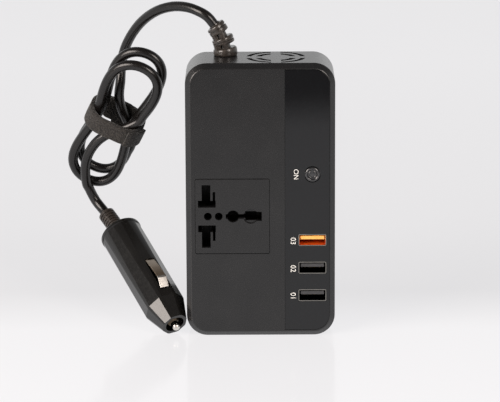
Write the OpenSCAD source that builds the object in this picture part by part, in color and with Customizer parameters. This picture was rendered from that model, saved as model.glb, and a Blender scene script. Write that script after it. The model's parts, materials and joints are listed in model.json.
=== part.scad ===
// Power inverter for a vehicle: case on its end, outlets on the front, cooling fan on top,
// supply cord wound in a tied hank, plug for a lighter socket leaning against the side.
// Millimetres. X to the right, Y to the back, Z up. The case stands on z = 0.

/* [Case] */
// Width of the case
body_w = 70; // [66:1:90]
// Height of the case
body_h = 131; // [126:1:160]
// Depth of the case, front to back
body_t = 34; // [34:0.5:44]
// Corner radius seen from the front
corner_r = 10; // [7:0.5:14]
// Flat bevel round the front face
bevel = 2.4; // [1.8:0.1:3]
// Rounding of the rear edge
back_r = 2.6; // [1:0.1:4]
// Wall thickness
wall = 1.8; // [1.6:0.1:2.2]
// Height of the cover's locating lip
lip_h = 1.8; // [1:0.1:3]
// Thickness of the cover's locating lip
lip_t = 1.2; // [0.8:0.1:2]
// Gap between the lip and the case wall
lip_gap = 0.15; // [0.1:0.05:0.4]
// Radius of the screw posts
post_r = 3.2; // [2.8:0.1:4]
// Distance of the screw posts from the sides
post_in = 7.5; // [6.5:0.5:10]
// Radius of the case screw shanks
screw_r = 1.3; // [1:0.1:1.6]
// Radius of the case screw heads
head_r = 2.6; // [2:0.1:3]
// Gap round screw shanks in plastic
screw_gap = 0.3; // [0.2:0.05:0.4]

/* [Control panel] */
// Width of the gloss strip
panel_w = 20.8; // [19:0.2:24]
// Thickness of the gloss strip
panel_t = 0.8; // [0.6:0.1:1.2]
// Gap round the gloss strip
panel_gap = 0.15; // [0.05:0.05:0.3]
// Distance of the controls from the right side
ctrl_in = 10.65; // [10:0.05:12]
// Height of the lowest port
usb_z = 19.9; // [18:0.1:24]
// Spacing of the ports
usb_pitch = 13.4; // [12:0.1:16]
// Height of the push button
button_z = 78.4; // [76:0.1:84]
// Radius of the push button
button_r = 3.6; // [3:0.1:4.5]
// Gap round the push button
button_gap = 0.3; // [0.2:0.05:0.5]
// How far the button stands proud
button_out = 0.6; // [0.5:0.05:1]
// Travel of the button
button_travel = 0.5; // [0.3:0.05:0.6]
// Height of the hidden display
display_z = 62.8; // [60:0.1:65]

/* [Mains outlet] */
// Width of the outlet insert
socket_w = 34.8; // [34:0.1:36]
// Height of the outlet insert
socket_h = 35.9; // [35:0.1:37]
// Distance of the outlet centre from the left side
socket_in = 21.8; // [21:0.1:24]
// Height of the outlet centre
socket_z = 58.3; // [57:0.1:62]
// Gap round the outlet insert
socket_gap = 0.25; // [0.1:0.05:0.4]
// Depth of the outlet body behind the cover
socket_depth = 16.2; // [15:0.1:18]
// Thickness of the brass contact strip
leaf_t = 0.6; // [0.4:0.1:0.8]

/* [Fan and grille] */
// Side of the square fan
fan_size = 30; // [30:1:30]
// Thickness of the fan
fan_t = 10; // [10:1:10]
// Distance of the fan from the right side
fan_in = 12.5; // [12:0.1:14]
// Outer radius of the grille slots
grille_r = 14; // [12:0.1:14.2]
// Width of the grille spokes
spoke_w = 4.7; // [3:0.1:6]
// Number of fan blades
blades = 7; // [5:1:9]
// Gap of the fan shaft in its bearing
shaft_gap = 0.1; // [0.05:0.01:0.1]

/* [Cord and strain relief] */
// Diameter of the cord
cord_d = 4.8; // [4.6:0.1:5]
// Distance of the strain relief from the left side
relief_in = 18.9; // [18:0.1:20]
// Position of the strain relief, towards the back
relief_y = 6; // [5:0.1:7]
// Radius of the bend of the strain relief
relief_bend = 22.8; // [22:0.1:24]
// Angle at the end of the strain relief
relief_angle = 40; // [38:1:42]
// Half height of the upper loops of the hank
hank_up = 40; // [39:0.1:41]
// Half height of the lower loops of the hank
hank_low = 36.7; // [36:0.1:37.5]
// Turns of cord in the hank
hank_turns = 2; // [2:1:2]
// Step of the hank from turn to turn
hank_step = 5.6; // [5.5:0.1:6]
// Width of the hook and loop strap
tie_w = 8.6; // [7:0.1:10]
// Thickness of the strap
tie_t = 1.6; // [1.2:0.1:2]

/* [Lighter plug] */
// Radius of the plug body
plug_r = 10; // [9.8:0.1:10.2]
// Length of the plug from the nose rim to its collar
plug_len = 62.5; // [60:0.5:64]
// Length of the tapered nose cap
nose_len = 11; // [11:0.5:12]
// Radius of the nose rim
nose_r = 6.3; // [6:0.1:6.6]
// Length of the ribbed cord sleeve
sleeve_len = 13.5; // [12:0.5:15]
// Radius of the ribbed cord sleeve
sleeve_r = 4.1; // [3.9:0.1:4.5]
// Travel of the tip contact
tip_travel = 2.4; // [1.5:0.1:2.4]
// Stand out of the tip contact
tip_out = 3.3; // [2.6:0.1:3.5]
// Radial travel of the side contacts
side_travel = 1.2; // [0.8:0.1:1.4]

/* [Hidden] */
$fn = 64;
xl = -body_w / 2;
xr = body_w / 2;
front_y = -body_t / 2;
back_y = body_t / 2;
part_y = front_y + bevel;
in_front = front_y + wall;
in_back = back_y - wall;
in_top = body_h - wall;
post_z0 = 9;
posts = [[xl + post_in, post_z0], [xr - post_in, post_z0],
         [xl + post_in, body_h - post_z0], [xr - post_in, body_h - post_z0]];
post_y = front_y + 13;
sink = 4;
panel_x1 = xr - bevel - 0.25;
panel_x0 = panel_x1 - panel_w;
panel_z0 = bevel + 0.7;
panel_z1 = body_h - bevel - 0.5;
panel_r = corner_r - bevel - 0.3;
ctrl_x = xr - ctrl_in;
board_y = front_y + 14;
board_t = 1.6;
usb_w = 13.1;
usb_h = 5.7;
usb_wall = 0.35;
ports = [usb_z, usb_z + usb_pitch, usb_z + 2 * usb_pitch];
display_x = ctrl_x + 0.6;
socket_x = xl + socket_in;
socket_back = in_front + socket_depth;
flange_t = 1.5;
pin_x = socket_x - 12.3;
ear_z = [socket_z - socket_h / 2 - 4, socket_z + socket_h / 2 + 4];
main_y = in_back - 5.8;
main_t = 1.6;
main_z0 = 14;
main_z1 = body_h - 16;
stand = [[xl + 8, main_z0 + 4], [xr - 8, main_z0 + 4], [xl + 8, main_z1 - 4], [xr - 8, main_z1 - 4]];
fan_w = min(fan_size, body_w - 40);
fan_k = fan_w / 30;
fan_x = xr - fan_in - fan_w / 2;
fan_z = in_top - fan_t;
relief_x = xl + relief_in;
board_top = button_z + 11.6;
trafo_z0 = ear_z[1] + 3.5;
trafo_z1 = fan_z - 5.2;
trafo_w = body_w / 2 - 18;
trafo_x = xl + 9 + trafo_w;
cap_r = min(8, (fan_z - board_top - 3.5) / 2);
cap_z = (fan_z + board_top - 0.5) / 2;
switch_x = socket_x + 16.7;
sink_x1 = xr - 9;
sink_z1 = socket_z + 23.7;
gland_r = 4;
relief_end = [relief_x - relief_bend * (1 - cos(relief_angle)), relief_y,
              body_h + relief_bend * sin(relief_angle)];
relief_dir = [-sin(relief_angle), 0, cos(relief_angle)];
plug_nose = [xl - 5.8, front_y + 2.3, 5.3];
plug_lean = 33;
plug_turn = 31.3;
plug_roll = -9;
plug_axis = [-sin(plug_turn) * cos(plug_lean), cos(plug_turn) * cos(plug_lean), sin(plug_lean)];
sleeve_end = plug_nose + (plug_len + sleeve_len) * plug_axis;
hank_c = [xl - 35, front_y + 53, 94];
hank_roll = 25.5;
hank_tilt = 22;
hank_u = [sin(hank_roll) * cos(hank_tilt), -sin(hank_tilt), cos(hank_roll) * cos(hank_tilt)];
hank_v = [cos(hank_roll), 0, -sin(hank_roll)];
hank_n = cross(hank_u, hank_v);
hank_from = 0.1;
hank_to = hank_turns - 0.07;
hank_rings = 48;
tie_in = [12.6, 10, 4.8];

// A point of the hank by turns run: drawn in at the waist, each turn a step nearer the front
function soft(c) = sqrt(c * c + 0.0625) - 0.25;
function hank_wide(p, c, s) = c < 0 ? 13.8 : p < 1 && s > 0 ? 13 : 16;
function hank_lean(p, c) = c < 0 ? 1.8 : p < 1 ? 1.4 : 2.5;
function hank_side(p, c, s) = s * (8.7 + hank_wide(p, c, s) * soft(c)) + hank_lean(p, c) * c * c;
function hank_rise(c) = (c > 0 ? hank_up : hank_low) * c * (1.064 - 0.064 * c * c);
function hank_at(p, c, s) = hank_c + (hank_rise(c) + 5.6 * (1 - p)) * hank_u
    + (hank_side(p, c, s) + 0.8 * (1 - p)) * hank_v
    + hank_step * (1 - p) * hank_n;
function hank_pt(p) = hank_at(p, cos(90 + 360 * p), sin(90 + 360 * p));
function in_hank(q) = hank_c + q[0] * hank_u + q[1] * hank_v + q[2] * hank_n;
function unit(v) = v / norm(v);
hank_n_pts = ceil((hank_to - hank_from) * hank_rings);
hank_path = [for (i = [0 : hank_n_pts]) hank_pt(hank_from + (hank_to - hank_from) * i / hank_n_pts)];
hank_in = unit(hank_path[1] - hank_path[0]);
hank_out = unit(hank_path[hank_n_pts] - hank_path[hank_n_pts - 1]);

// Route of the lead from the strain relief to the hank
lead_route = concat([relief_end, relief_end + cord_d * relief_dir],
    [for (q = [[-7.1, 1.5, 5.9], [-12.6, 5.5, 7.2], [-19.6, 11, 6.7], [-27.1, 17, 3.7], [-34.1, 23.5, -2]])
        relief_end + q],
    [for (q = [[9, -1, 42.3], [5.1, 3.4, 34], [3.2, 6, 25.6]]) hank_c + q],
    [for (q = [[14.5, -5.3, 10.5], [8.6, -3, 7.9], [3.2, 0.6, 6.8], [-1.8, 6, 6.2], [-6.8, 10.4, 5.6]])
        in_hank(q)],
    [hank_path[0] - cord_d * hank_in, hank_path[0]]);
// Route of the tail from the hank through the tie to the plug
tail_route = concat([hank_path[hank_n_pts], hank_path[hank_n_pts] + cord_d * hank_out],
    [for (q = [[3.4, 7.2, -5.8], [-1.2, 3.2, -6.3], [-5.6, -0.7, -6.8], [-10.6, -3.2, -7.2],
               [-15.8, -4.3, -7.6], [-20.8, -4.4, -7.8], [-26, -3.4, -7.8], [-31, -1.5, -7.8],
               [-36, 1.1, -7.5]]) in_hank(q)],
    [for (q = [[-9.5, 4.4, 10.6], [-7.1, 5.4, 7.6], [-4.3, 5.2, 4.9]]) sleeve_end + q],
    [sleeve_end + cord_d * plug_axis, sleeve_end]);

// Points on a smooth curve through a route
function spline(a, b, c, d, t) = 0.5 * (2 * b + (c - a) * t + (2 * a - 5 * b + 4 * c - d) * t * t
    + (3 * b - a - 3 * c + d) * t * t * t);
function before(p, i) = i > 0 ? p[i - 1] : 2 * p[0] - p[1];
function after(p, i) = i < len(p) ? p[i] : 2 * p[i - 1] - p[i - 2];
function smooth(p, n) = concat([for (i = [0 : len(p) - 2], k = [0 : n - 1])
    spline(before(p, i), p[i], p[i + 1], after(p, i + 2), k / n)], [p[len(p) - 1]]);
lead_path = smooth(lead_route, 3);
tail_path = smooth(tail_route, 3);

// Tube round a path: rings square to the path, carried along without twist
function tangent(p, i) = i == 0 ? unit(p[1] - p[0]) : i == len(p) - 1 ? unit(p[i] - p[i - 1])
    : unit(unit(p[i + 1] - p[i]) + unit(p[i] - p[i - 1]));
function square_to(a, t) = unit(a - (a * t) * t);
function sides(p, i, a) = i == len(p) ? []
    : let (b = square_to(a, tangent(p, i))) concat([b], sides(p, i + 1, b));
function ring(c, t, a, r, n) = [for (k = [0 : n - 1])
    c + r * (cos(360 * k / n) * a + sin(360 * k / n) * cross(t, a))];
module tube(p, r, n, start) {
    a = sides(p, 0, start);
    m = len(p);
    pts = [for (i = [0 : m - 1]) each ring(p[i], tangent(p, i), a[i], r, n)];
    wall_faces = [for (i = [0 : m - 2], k = [0 : n - 1]) each
        [[i * n + k, (i + 1) * n + k, (i + 1) * n + (k + 1) % n],
         [i * n + k, (i + 1) * n + (k + 1) % n, i * n + (k + 1) % n]]];
    end_faces = [for (k = [1 : n - 2]) each
        [[0, k, k + 1], [(m - 1) * n, (m - 1) * n + k + 1, (m - 1) * n + k]]];
    polyhedron(points = pts, faces = concat(wall_faces, end_faces), convexity = 10);
}

// Least gaps, measured on the points and printed
function near(p, q) = min([for (a = p, b = q) norm(a - b)]);
function self_near(p, skip) = min([for (i = [0 : len(p) - 1], j = [0 : len(p) - 1])
    if (j - i > skip) norm(p[i] - p[j])]);
function part_of(p, a, b) = [for (i = [a : b]) p[i]];
echo(hank_least_gap = self_near(hank_path, 12) - cord_d);
echo(lead_to_hank = near(lead_path, part_of(hank_path, 8, hank_n_pts)) - cord_d);
echo(tail_to_hank = near(tail_path, part_of(hank_path, 0, hank_n_pts - 8)) - cord_d);
echo(lead_to_tail = near(lead_path, tail_path) - cord_d);

// Front outlines are drawn in x and z and pushed along y
module slab(y0, y1) {
    translate([0, y1, 0]) rotate([90, 0, 0]) linear_extrude(y1 - y0) children();
}
module rod(x, z, y0, y1, r) {
    translate([x, y0, z]) rotate([-90, 0, 0]) cylinder(h = y1 - y0, r = r);
}
module rect(x0, z0, x1, z1) {
    translate([x0, z0]) square([x1 - x0, z1 - z0]);
}
module rrect(x0, z0, x1, z1, r) {
    rect(x0 + r, z0, x1 - r, z1);
    rect(x0, z0 + r, x1, z1 - r);
    for (x = [x0 + r, x1 - r], z = [z0 + r, z1 - r]) translate([x, z]) circle(r);
}
module box(a, b) {
    translate(a) cube(b - a);
}
module at_corners() {
    for (x = [xl + corner_r, xr - corner_r], z = [corner_r, body_h - corner_r])
        translate([x, 0, z]) children();
}

// Rear half of the case: five walls, screw posts, board pillars, fan guides
module case_back() {
    hull() at_corners() rotate([-90, 0, 0]) {
        translate([0, 0, part_y]) cylinder(h = back_y - back_r - part_y, r = corner_r, $fn = 32);
        for (a = [0 : 18 : 72]) translate([0, 0, back_y - back_r + back_r * sin(a)])
            cylinder(h = back_r * (sin(a + 18) - sin(a)), r1 = corner_r - back_r + back_r * cos(a),
                r2 = corner_r - back_r + back_r * cos(a + 18), $fn = 32);
    }
}
module grille_slots() {
    difference() {
        union() {
            difference() {
                circle(grille_r * fan_k);
                circle((grille_r - 2.2) * fan_k);
            }
            difference() {
                circle((grille_r - 4.4) * fan_k);
                circle((grille_r - 7) * fan_k);
            }
        }
        square([3 * grille_r, spoke_w], center = true);
        square([spoke_w, 3 * grille_r], center = true);
    }
}
module fan_guides() {
    for (s = [-1, 1]) translate([fan_x, 0, 0]) mirror([s > 0 ? 0 : 1, 0, 0]) {
        box([fan_w / 2 + 0.15, front_y + 5, fan_z - 2],
            [fan_w / 2 + 1.35, in_back + 0.5, in_top + 0.5]);
        box([fan_w / 2 - 2, front_y + 5, fan_z - 2], [fan_w / 2 + 1.35, in_back + 0.5, fan_z]);
    }
}
module rear_housing() color("#3a3a3c") difference() {
    union() {
        difference() {
            case_back();
            slab(part_y - 1, in_back) rrect(xl + wall, wall, xr - wall, in_top, corner_r - wall);
        }
        for (p = posts) rod(p[0], p[1], post_y, in_back + 0.5, post_r);
        for (p = stand) rod(p[0], p[1], main_y + main_t, in_back + 0.5, 2.6);
        fan_guides();
    }
    for (p = posts) {
        rod(p[0], p[1], back_y - sink, back_y + 1, head_r + 0.4);
        rod(p[0], p[1], post_y - 1, back_y, screw_r + screw_gap);
    }
    for (p = stand) rod(p[0], p[1], main_y, in_back - 0.6, 1.3);
    translate([fan_x, 0, in_top - 1]) linear_extrude(wall + 2) grille_slots();
    translate([relief_x, relief_y, in_top - 1]) cylinder(h = wall + 2, r = gland_r + 0.3);
    for (i = [-3.5 : 3.5]) box([5 * i - 1.1, -9, -1], [5 * i + 1.1, 9, wall + 1]);
}

// Front cover: bevelled plate, lip inside the case wall, bosses, openings
module front_plate() {
    hull() at_corners() rotate([90, 0, 0]) translate([0, 0, -part_y])
        cylinder(h = bevel, r1 = corner_r, r2 = corner_r - bevel, $fn = 32);
}
module panel_outline(g) {
    rect(panel_x0 - g, panel_z0 - g, panel_x1 - panel_r + 1, panel_z1 + g);
    rrect(panel_x0 - g, panel_z0 - g, panel_x1 + g, panel_z1 + g, panel_r);
}
module lip() {
    g = wall + lip_gap;
    h = g + lip_t;
    difference() {
        slab(part_y - 0.3, part_y + lip_h) rrect(xl + g, g, xr - g, body_h - g, corner_r - g);
        slab(part_y - 1, part_y + lip_h + 1) rrect(xl + h, h, xr - h, body_h - h, corner_r - h);
        box([fan_x - fan_w / 2 - 2, front_y, fan_z - 3], [fan_x + fan_w / 2 + 2, 0, body_h]);
    }
}
module front_cover() color("#3a3a3c") difference() {
    union() {
        difference() {
            front_plate();
            slab(in_front, part_y + 1) rrect(xl + 3.5, 3.5, xr - 3.5, body_h - 3.5, corner_r - 3.5);
        }
        lip();
        for (p = posts) rod(p[0], p[1], in_front - 0.4, post_y, post_r);
        for (z = ear_z) rod(socket_x, z, in_front - 0.4, in_front + 7, 2.6);
        for (z = [15.2, board_top - 2.8]) rod(panel_x0 + 3.5, z, in_front - 0.4, board_y, 2.2);
    }
    slab(front_y - 1, front_y + panel_t) panel_outline(panel_gap);
    box([fan_x - fan_w / 2 - 0.3, in_front, fan_z - 1], [fan_x + fan_w / 2 + 0.3, 0, in_top + 0.05]);
    slab(front_y - 1, 0) rrect(socket_x - socket_w / 2 - socket_gap, socket_z - socket_h / 2 - socket_gap,
        socket_x + socket_w / 2 + socket_gap, socket_z + socket_h / 2 + socket_gap, 1);
    for (z = ports) slab(front_y - 1, in_front + 1) usb_outline(z, 0.25);
    rod(ctrl_x, button_z, front_y - 1, in_front + 1, button_r + button_gap);
    slab(front_y - 1, in_front + 1) rect(display_x - 6, display_z - 9.8, display_x + 6, display_z + 9.8);
    for (p = posts) rod(p[0], p[1], in_front + 1, post_y + 1, screw_r + screw_gap);
    for (z = ear_z) rod(socket_x, z, in_front + 0.5, in_front + 8, 1.3);
    for (z = [15.2, board_top - 2.8]) rod(panel_x0 + 3.5, z, in_front + 1, board_y + 1, 1.3);
}
module housing_screws() color("#8d9094") for (p = posts) {
    rod(p[0], p[1], front_y + 4, back_y - sink + 0.1, screw_r);
    difference() {
        rod(p[0], p[1], back_y - sink, back_y - sink + 2, head_r);
        slab(back_y - sink + 1, back_y) translate([p[0], p[1]]) for (a = [0, 90])
            rotate(a) square([3.4, 0.7], center = true);
    }
}

// Gloss strip with the controls
module usb_outline(z, g) {
    rrect(ctrl_x - usb_w / 2 - g, z - usb_h / 2 - g, ctrl_x + usb_w / 2 + g, z + usb_h / 2 + g, 0.6);
}
module control_panel() color("#1d1d20") difference() {
    slab(front_y, front_y + panel_t) panel_outline(0);
    for (z = ports) slab(front_y - 1, in_front) usb_outline(z, 0.15);
    rod(ctrl_x, button_z, front_y - 1, in_front, button_r + button_gap);
}

// Mains outlet: insert with slots for several plug forms, body and three brass contacts
module upper_slot() {
    rect(pin_x - 2.05, socket_z + 5, pin_x + 2.05, socket_z + 15.1);
    rect(pin_x - 3.8, socket_z + 4.3, pin_x + 4.5, socket_z + 7.6);
    polygon([[pin_x + 2.9, socket_z + 11.7], [pin_x + 3.7, socket_z + 11.9], [pin_x + 4.5, socket_z + 7.4],
             [pin_x + 3.6, socket_z + 7.2]]);
}
module lower_slot() {
    translate([0, socket_z]) mirror([0, 1]) translate([0, -socket_z]) upper_slot();
}
module earth_slot() {
    translate([socket_x + 0.3, socket_z]) circle(2.9);
    rect(socket_x - 3.1, socket_z - 1.1, socket_x + 8, socket_z + 1.1);
    rect(socket_x + 6, socket_z - 2.2, socket_x + 13.8, socket_z + 2.2);
}
module socket_plate() color("#3a3a3c") difference() {
    union() {
        slab(front_y, in_front) rrect(socket_x - socket_w / 2, socket_z - socket_h / 2,
            socket_x + socket_w / 2, socket_z + socket_h / 2, 0.8);
        slab(in_front, in_front + flange_t)
            rrect(socket_x - socket_w / 2 - 0.7, socket_z - socket_h / 2 - 1.2,
                socket_x + socket_w / 2 + 0.7, socket_z + socket_h / 2 + 1.2, 0.8);
    }
    slab(front_y - 1, 0) {
        upper_slot();
        lower_slot();
        earth_slot();
    }
    for (x = [pin_x + 0.8, pin_x + 5.9]) rod(x, socket_z, front_y - 1, 0, 1.85);
    rod(socket_x + 8.6, socket_z, front_y - 1, front_y + 1.4, 3.55);
}
module cavity(x0, z0, x1, z1) {
    box([x0, in_front, z0], [x1, socket_back - 1.4, z1]);
}
module socket_base() color("#2b2b2d") difference() {
    union() {
        box([socket_x - 17, in_front + flange_t, socket_z - 17.2],
            [socket_x + 16.4, socket_back, socket_z + 17.2]);
        for (z = ear_z) rod(socket_x, z, in_front + 7, in_front + 9, 3);
        box([socket_x - 3, in_front + 7, ear_z[0]], [socket_x + 3, in_front + 9, ear_z[1]]);
    }
    cavity(pin_x - 4.2, socket_z + 3.9, pin_x + 4.9, socket_z + 15.8);
    cavity(pin_x - 4.2, socket_z - 15.8, pin_x + 4.9, socket_z - 3.9);
    cavity(socket_x - 3.2, socket_z - 3.7, socket_x + 14.4, socket_z + 3.7);
    for (x = [pin_x + 0.8, pin_x + 5.9]) rod(x, socket_z, 2 * in_front, socket_back - 1.4, 1.85);
    for (z = ear_z) rod(socket_x, z, in_front, in_front + 12, 1.5);
}
module clip() {
    y1 = socket_back - 1.4;
    for (x = [pin_x - 3.1, pin_x + 3.1 - leaf_t])
        box([x, in_front + flange_t + 1, 8], [x + leaf_t, y1, 15.8]);
    box([pin_x - 3.1, in_front + flange_t + 1, 15.8 - leaf_t], [pin_x + 3.1, y1, 15.8]);
}
module live_contact() color("#c9a557") translate([0, 0, socket_z]) clip();
module neutral_contact() color("#c9a557") translate([0, 0, socket_z]) mirror([0, 0, 1]) clip();
module earth_contact() color("#c9a557") {
    y1 = socket_back - 1.4;
    for (z = [socket_z - 3.7, socket_z + 3.7 - leaf_t])
        box([socket_x - 2.8, in_front + flange_t + 1, z], [socket_x + 14.4, y1, z + leaf_t]);
    box([socket_x + 14.4 - leaf_t, in_front + flange_t + 1, socket_z - 3.7],
        [socket_x + 14.4, y1, socket_z + 3.7]);
}
module socket_screws() color("#8d9094") for (z = ear_z) {
    rod(socket_x, z, in_front + 1.5, in_front + 9.1, 1);
    rod(socket_x, z, in_front + 9, in_front + 10.5, 2.2);
}

// Charging ports: steel shell, insulator with tongue, four contacts each
module usb_shell(z) color("#b9bcc0") difference() {
    slab(front_y + 0.1, board_y) usb_outline(z, 0);
    slab(front_y - 1, board_y + 1) rect(ctrl_x - usb_w / 2 + usb_wall, z - usb_h / 2 + usb_wall,
        ctrl_x + usb_w / 2 - usb_wall, z + usb_h / 2 - usb_wall);
}
module usb_shell_1() usb_shell(ports[0]);
module usb_shell_2() usb_shell(ports[1]);
module usb_shell_3() usb_shell(ports[2]);
module usb_tongue(z) {
    slab(front_y + 0.9, board_y - 3.9) rect(ctrl_x - 5.6, z + 0.1, ctrl_x + 5.6, z + 1.95);
    slab(board_y - 4, board_y) rect(ctrl_x - usb_w / 2 + usb_wall, z - usb_h / 2 + usb_wall,
        ctrl_x + usb_w / 2 - usb_wall, z + usb_h / 2 - usb_wall);
}
module usb_tongue_1() color("#141415") usb_tongue(ports[0]);
module usb_tongue_2() color("#141415") usb_tongue(ports[1]);
module usb_tongue_3() color("#f0701c") usb_tongue(ports[2]);
module usb_contacts() color("#d9b46a") for (z = ports, x = [-3.5, -1, 1, 3.5])
    slab(front_y + 1.6, board_y - 4) rect(ctrl_x + x - 0.5, z - 0.1, ctrl_x + x + 0.5, z + 0.1);

// Push button with its switch
module power_button() color("#2a2a2c") {
    intersection() {
        rod(ctrl_x, button_z, front_y - button_out, in_front + 0.1, button_r);
        translate([ctrl_x, front_y - button_out + 14, button_z]) sphere(14, $fn = 96);
    }
    rod(ctrl_x, button_z, in_front + 0.05, in_front + 1, button_r + 1.3);
    rod(ctrl_x, button_z, in_front + 0.9, board_y - 5, 1.5);
}
module switch_plunger() color("#d8d8d4") rod(ctrl_x, button_z, board_y - 5, board_y - 2, 1.5);
module switch_body() color("#202022") difference() {
    box([ctrl_x - 3, board_y - 3.6, button_z - 3], [ctrl_x + 3, board_y, button_z + 3]);
    rod(ctrl_x, button_z, board_y - 4, board_y - 1.8 + button_travel, 1.8);
}
module display_module() color("#101012") {
    box([display_x - 5.7, front_y + panel_t + 0.1, display_z - 9.5],
        [display_x + 5.7, board_y - 6, display_z + 9.5]);
    for (x = [-4.5, 4.5], z = [-6 : 3 : 6]) rod(display_x + x, display_z + z, board_y - 6.1, board_y, 0.45);
}
module control_board() color("#1f5a36") difference() {
    box([panel_x0 + 0.9, board_y, 13], [xr - 2.6, board_y + board_t, board_top]);
    for (z = [15.2, board_top - 2.8]) rod(panel_x0 + 3.5, z, board_y - 1, board_y + 3, 1.3);
}
module board_screws() color("#8d9094") for (z = [15.2, board_top - 2.8]) {
    rod(panel_x0 + 3.5, z, board_y - 6, board_y + board_t + 0.1, 1);
    rod(panel_x0 + 3.5, z, board_y + board_t, board_y + board_t + 1.4, 2);
}

// Power circuit on the main board
module main_board() color("#1f5a36") difference() {
    box([xl + 3.5, main_y, main_z0], [xr - 3.5, main_y + main_t, main_z1]);
    for (p = stand) rod(p[0], p[1], main_y - 1, main_y + 3, 1.4);
}
module main_screws() color("#8d9094") for (p = stand) {
    rod(p[0], p[1], main_y - 0.1, in_back - 1, 1);
    rod(p[0], p[1], main_y - 1.4, main_y, 2.2);
}
module transformer_core() color("#4a4a4d") slab(main_y - 17.4, main_y - 2.4) difference() {
    rect(trafo_x - trafo_w, trafo_z0, trafo_x + trafo_w, trafo_z1);
    rect(trafo_x - trafo_w + 5, trafo_z0 + 5.5, trafo_x + trafo_w - 5, trafo_z1 - 5.5);
}
module transformer_winding() color("#d9a21f")
    slab(main_y - 20.4, main_y - 2.4) rrect(trafo_x - trafo_w + 5.3, trafo_z0 + 5.8,
        trafo_x + trafo_w - 5.3, trafo_z1 - 5.8, 2);
module transformer_bobbin() color("#17171a") {
    slab(main_y - 2.4, main_y) rect(trafo_x - trafo_w + 4, trafo_z0 + 3, trafo_x + trafo_w - 4, trafo_z1 - 3);
}
module bulk_capacitor() color("#22305c") rod(xr - 16.6, cap_z, main_y - 20, main_y, cap_r);
module input_capacitors() color("#22305c") for (x = [xl + 15, xl + 27]) rod(x, 28, main_y - 17, main_y, 5);
module heatsink() color("#a9adb2") {
    box([switch_x + 4.5, main_y - 9.4, 22], [switch_x + 6.5, main_y, sink_z1]);
    for (y = [0.4, 4.2, 8])
        box([switch_x + 6.4, main_y - 9.4 + y, 22], [sink_x1, main_y - 8.2 + y, sink_z1]);
}
module transistors() color("#1a1a1c") for (i = [0 : 3])
    box([switch_x, board_y + board_t + 0.8, 24 + i * (sink_z1 - 37) / 3],
        [switch_x + 4.5, main_y, 34 + i * (sink_z1 - 37) / 3]);

// Cooling fan: frame with bearing, stator ring, bladed rotor on a shaft
module fan_frame() color("#19191b") translate([fan_x, 0, fan_z]) {
    difference() {
        translate([-fan_w / 2, -fan_w / 2, 0]) cube([fan_w, fan_w, fan_t]);
        translate([0, 0, -1]) cylinder(h = fan_t + 2, r = 14.2 * fan_k);
        for (x = [-12, 12] * fan_k, y = [-12, 12] * fan_k)
            translate([x, y, -1]) cylinder(h = fan_t + 2, r = 1.6);
    }
    difference() {
        union() {
            cylinder(h = 1.2, r = 7.5 * fan_k);
            cylinder(h = 6, r = 2.4);
            for (a = [30, 150, 270]) rotate(a) translate([0, -1, 0]) cube([14.6 * fan_k, 2, 1.2]);
        }
        translate([0, 0, -1]) cylinder(h = 8, r = 1 + shaft_gap);
    }
}
module fan_stator() color("#7a7d80") translate([fan_x, 0, fan_z + 1.2]) difference() {
    cylinder(h = 4.6, r = 6.3 * fan_k);
    translate([0, 0, -1]) cylinder(h = 7, r = 2.7);
}
module fan_rotor() color("#222224") translate([fan_x, 0, fan_z]) {
    difference() {
        translate([0, 0, 1.8]) cylinder(h = 7.4, r = 8 * fan_k);
        translate([0, 0, 1]) cylinder(h = 7, r = 6.9 * fan_k);
    }
    translate([0, 0, 0.4]) cylinder(h = 8, r = 1);
    intersection() {
        for (k = [0 : blades - 1]) rotate(360 * k / blades) translate([10.6 * fan_k, 0, 5.5])
            rotate([38, 0, 0]) cube([6.4 * fan_k, 9, 1], center = true);
        translate([0, 0, 1.8]) difference() {
            cylinder(h = 7.4, r = 13.6 * fan_k);
            translate([0, 0, -1]) cylinder(h = 10, r = 7.8 * fan_k);
        }
    }
}

// Strain relief: collars on a bending core with webs between them
module bent(a) {
    translate([relief_x - relief_bend, relief_y, body_h]) rotate([0, -a, 0])
        translate([relief_bend, 0, 0]) children();
}
module strain_relief() color("#4b4a4c") {
    translate([relief_x, relief_y, in_top - 1.8]) cylinder(h = 1.8, r = 5.4);
    translate([relief_x, relief_y, in_top - 0.2]) cylinder(h = wall + 0.4, r = gland_r);
    translate([relief_x, relief_y, body_h]) cylinder(h = 3.7, r = 5.65);
    bent(8) translate([0, 0, -1.5]) cylinder(h = 4.4, r = 2.9);
    bent(18.1) translate([0, 0, -1.6]) cylinder(h = 3.2, r = 5.2);
    bent(25) translate([0, 0, -2]) cylinder(h = 4.2, r = 2.9);
    bent(33.4) translate([0, 0, -2.1]) cylinder(h = 4.2, r = 4.6);
    bent(relief_angle) translate([0, 0, -1.2]) cylinder(h = 1.2, r = 2.9);
    for (w = [[180, 3.2], [80, 1.1], [-80, 1.1]]) {
        bent(11.8) rotate(w[0]) translate([2.4, -w[1], -1.6]) cube([2.7, 2 * w[1], 3.2]);
        bent(25) rotate(w[0]) translate([2.4, -0.9 * w[1], -1.8]) cube([2, 1.8 * w[1], 3.6]);
    }
}

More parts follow.
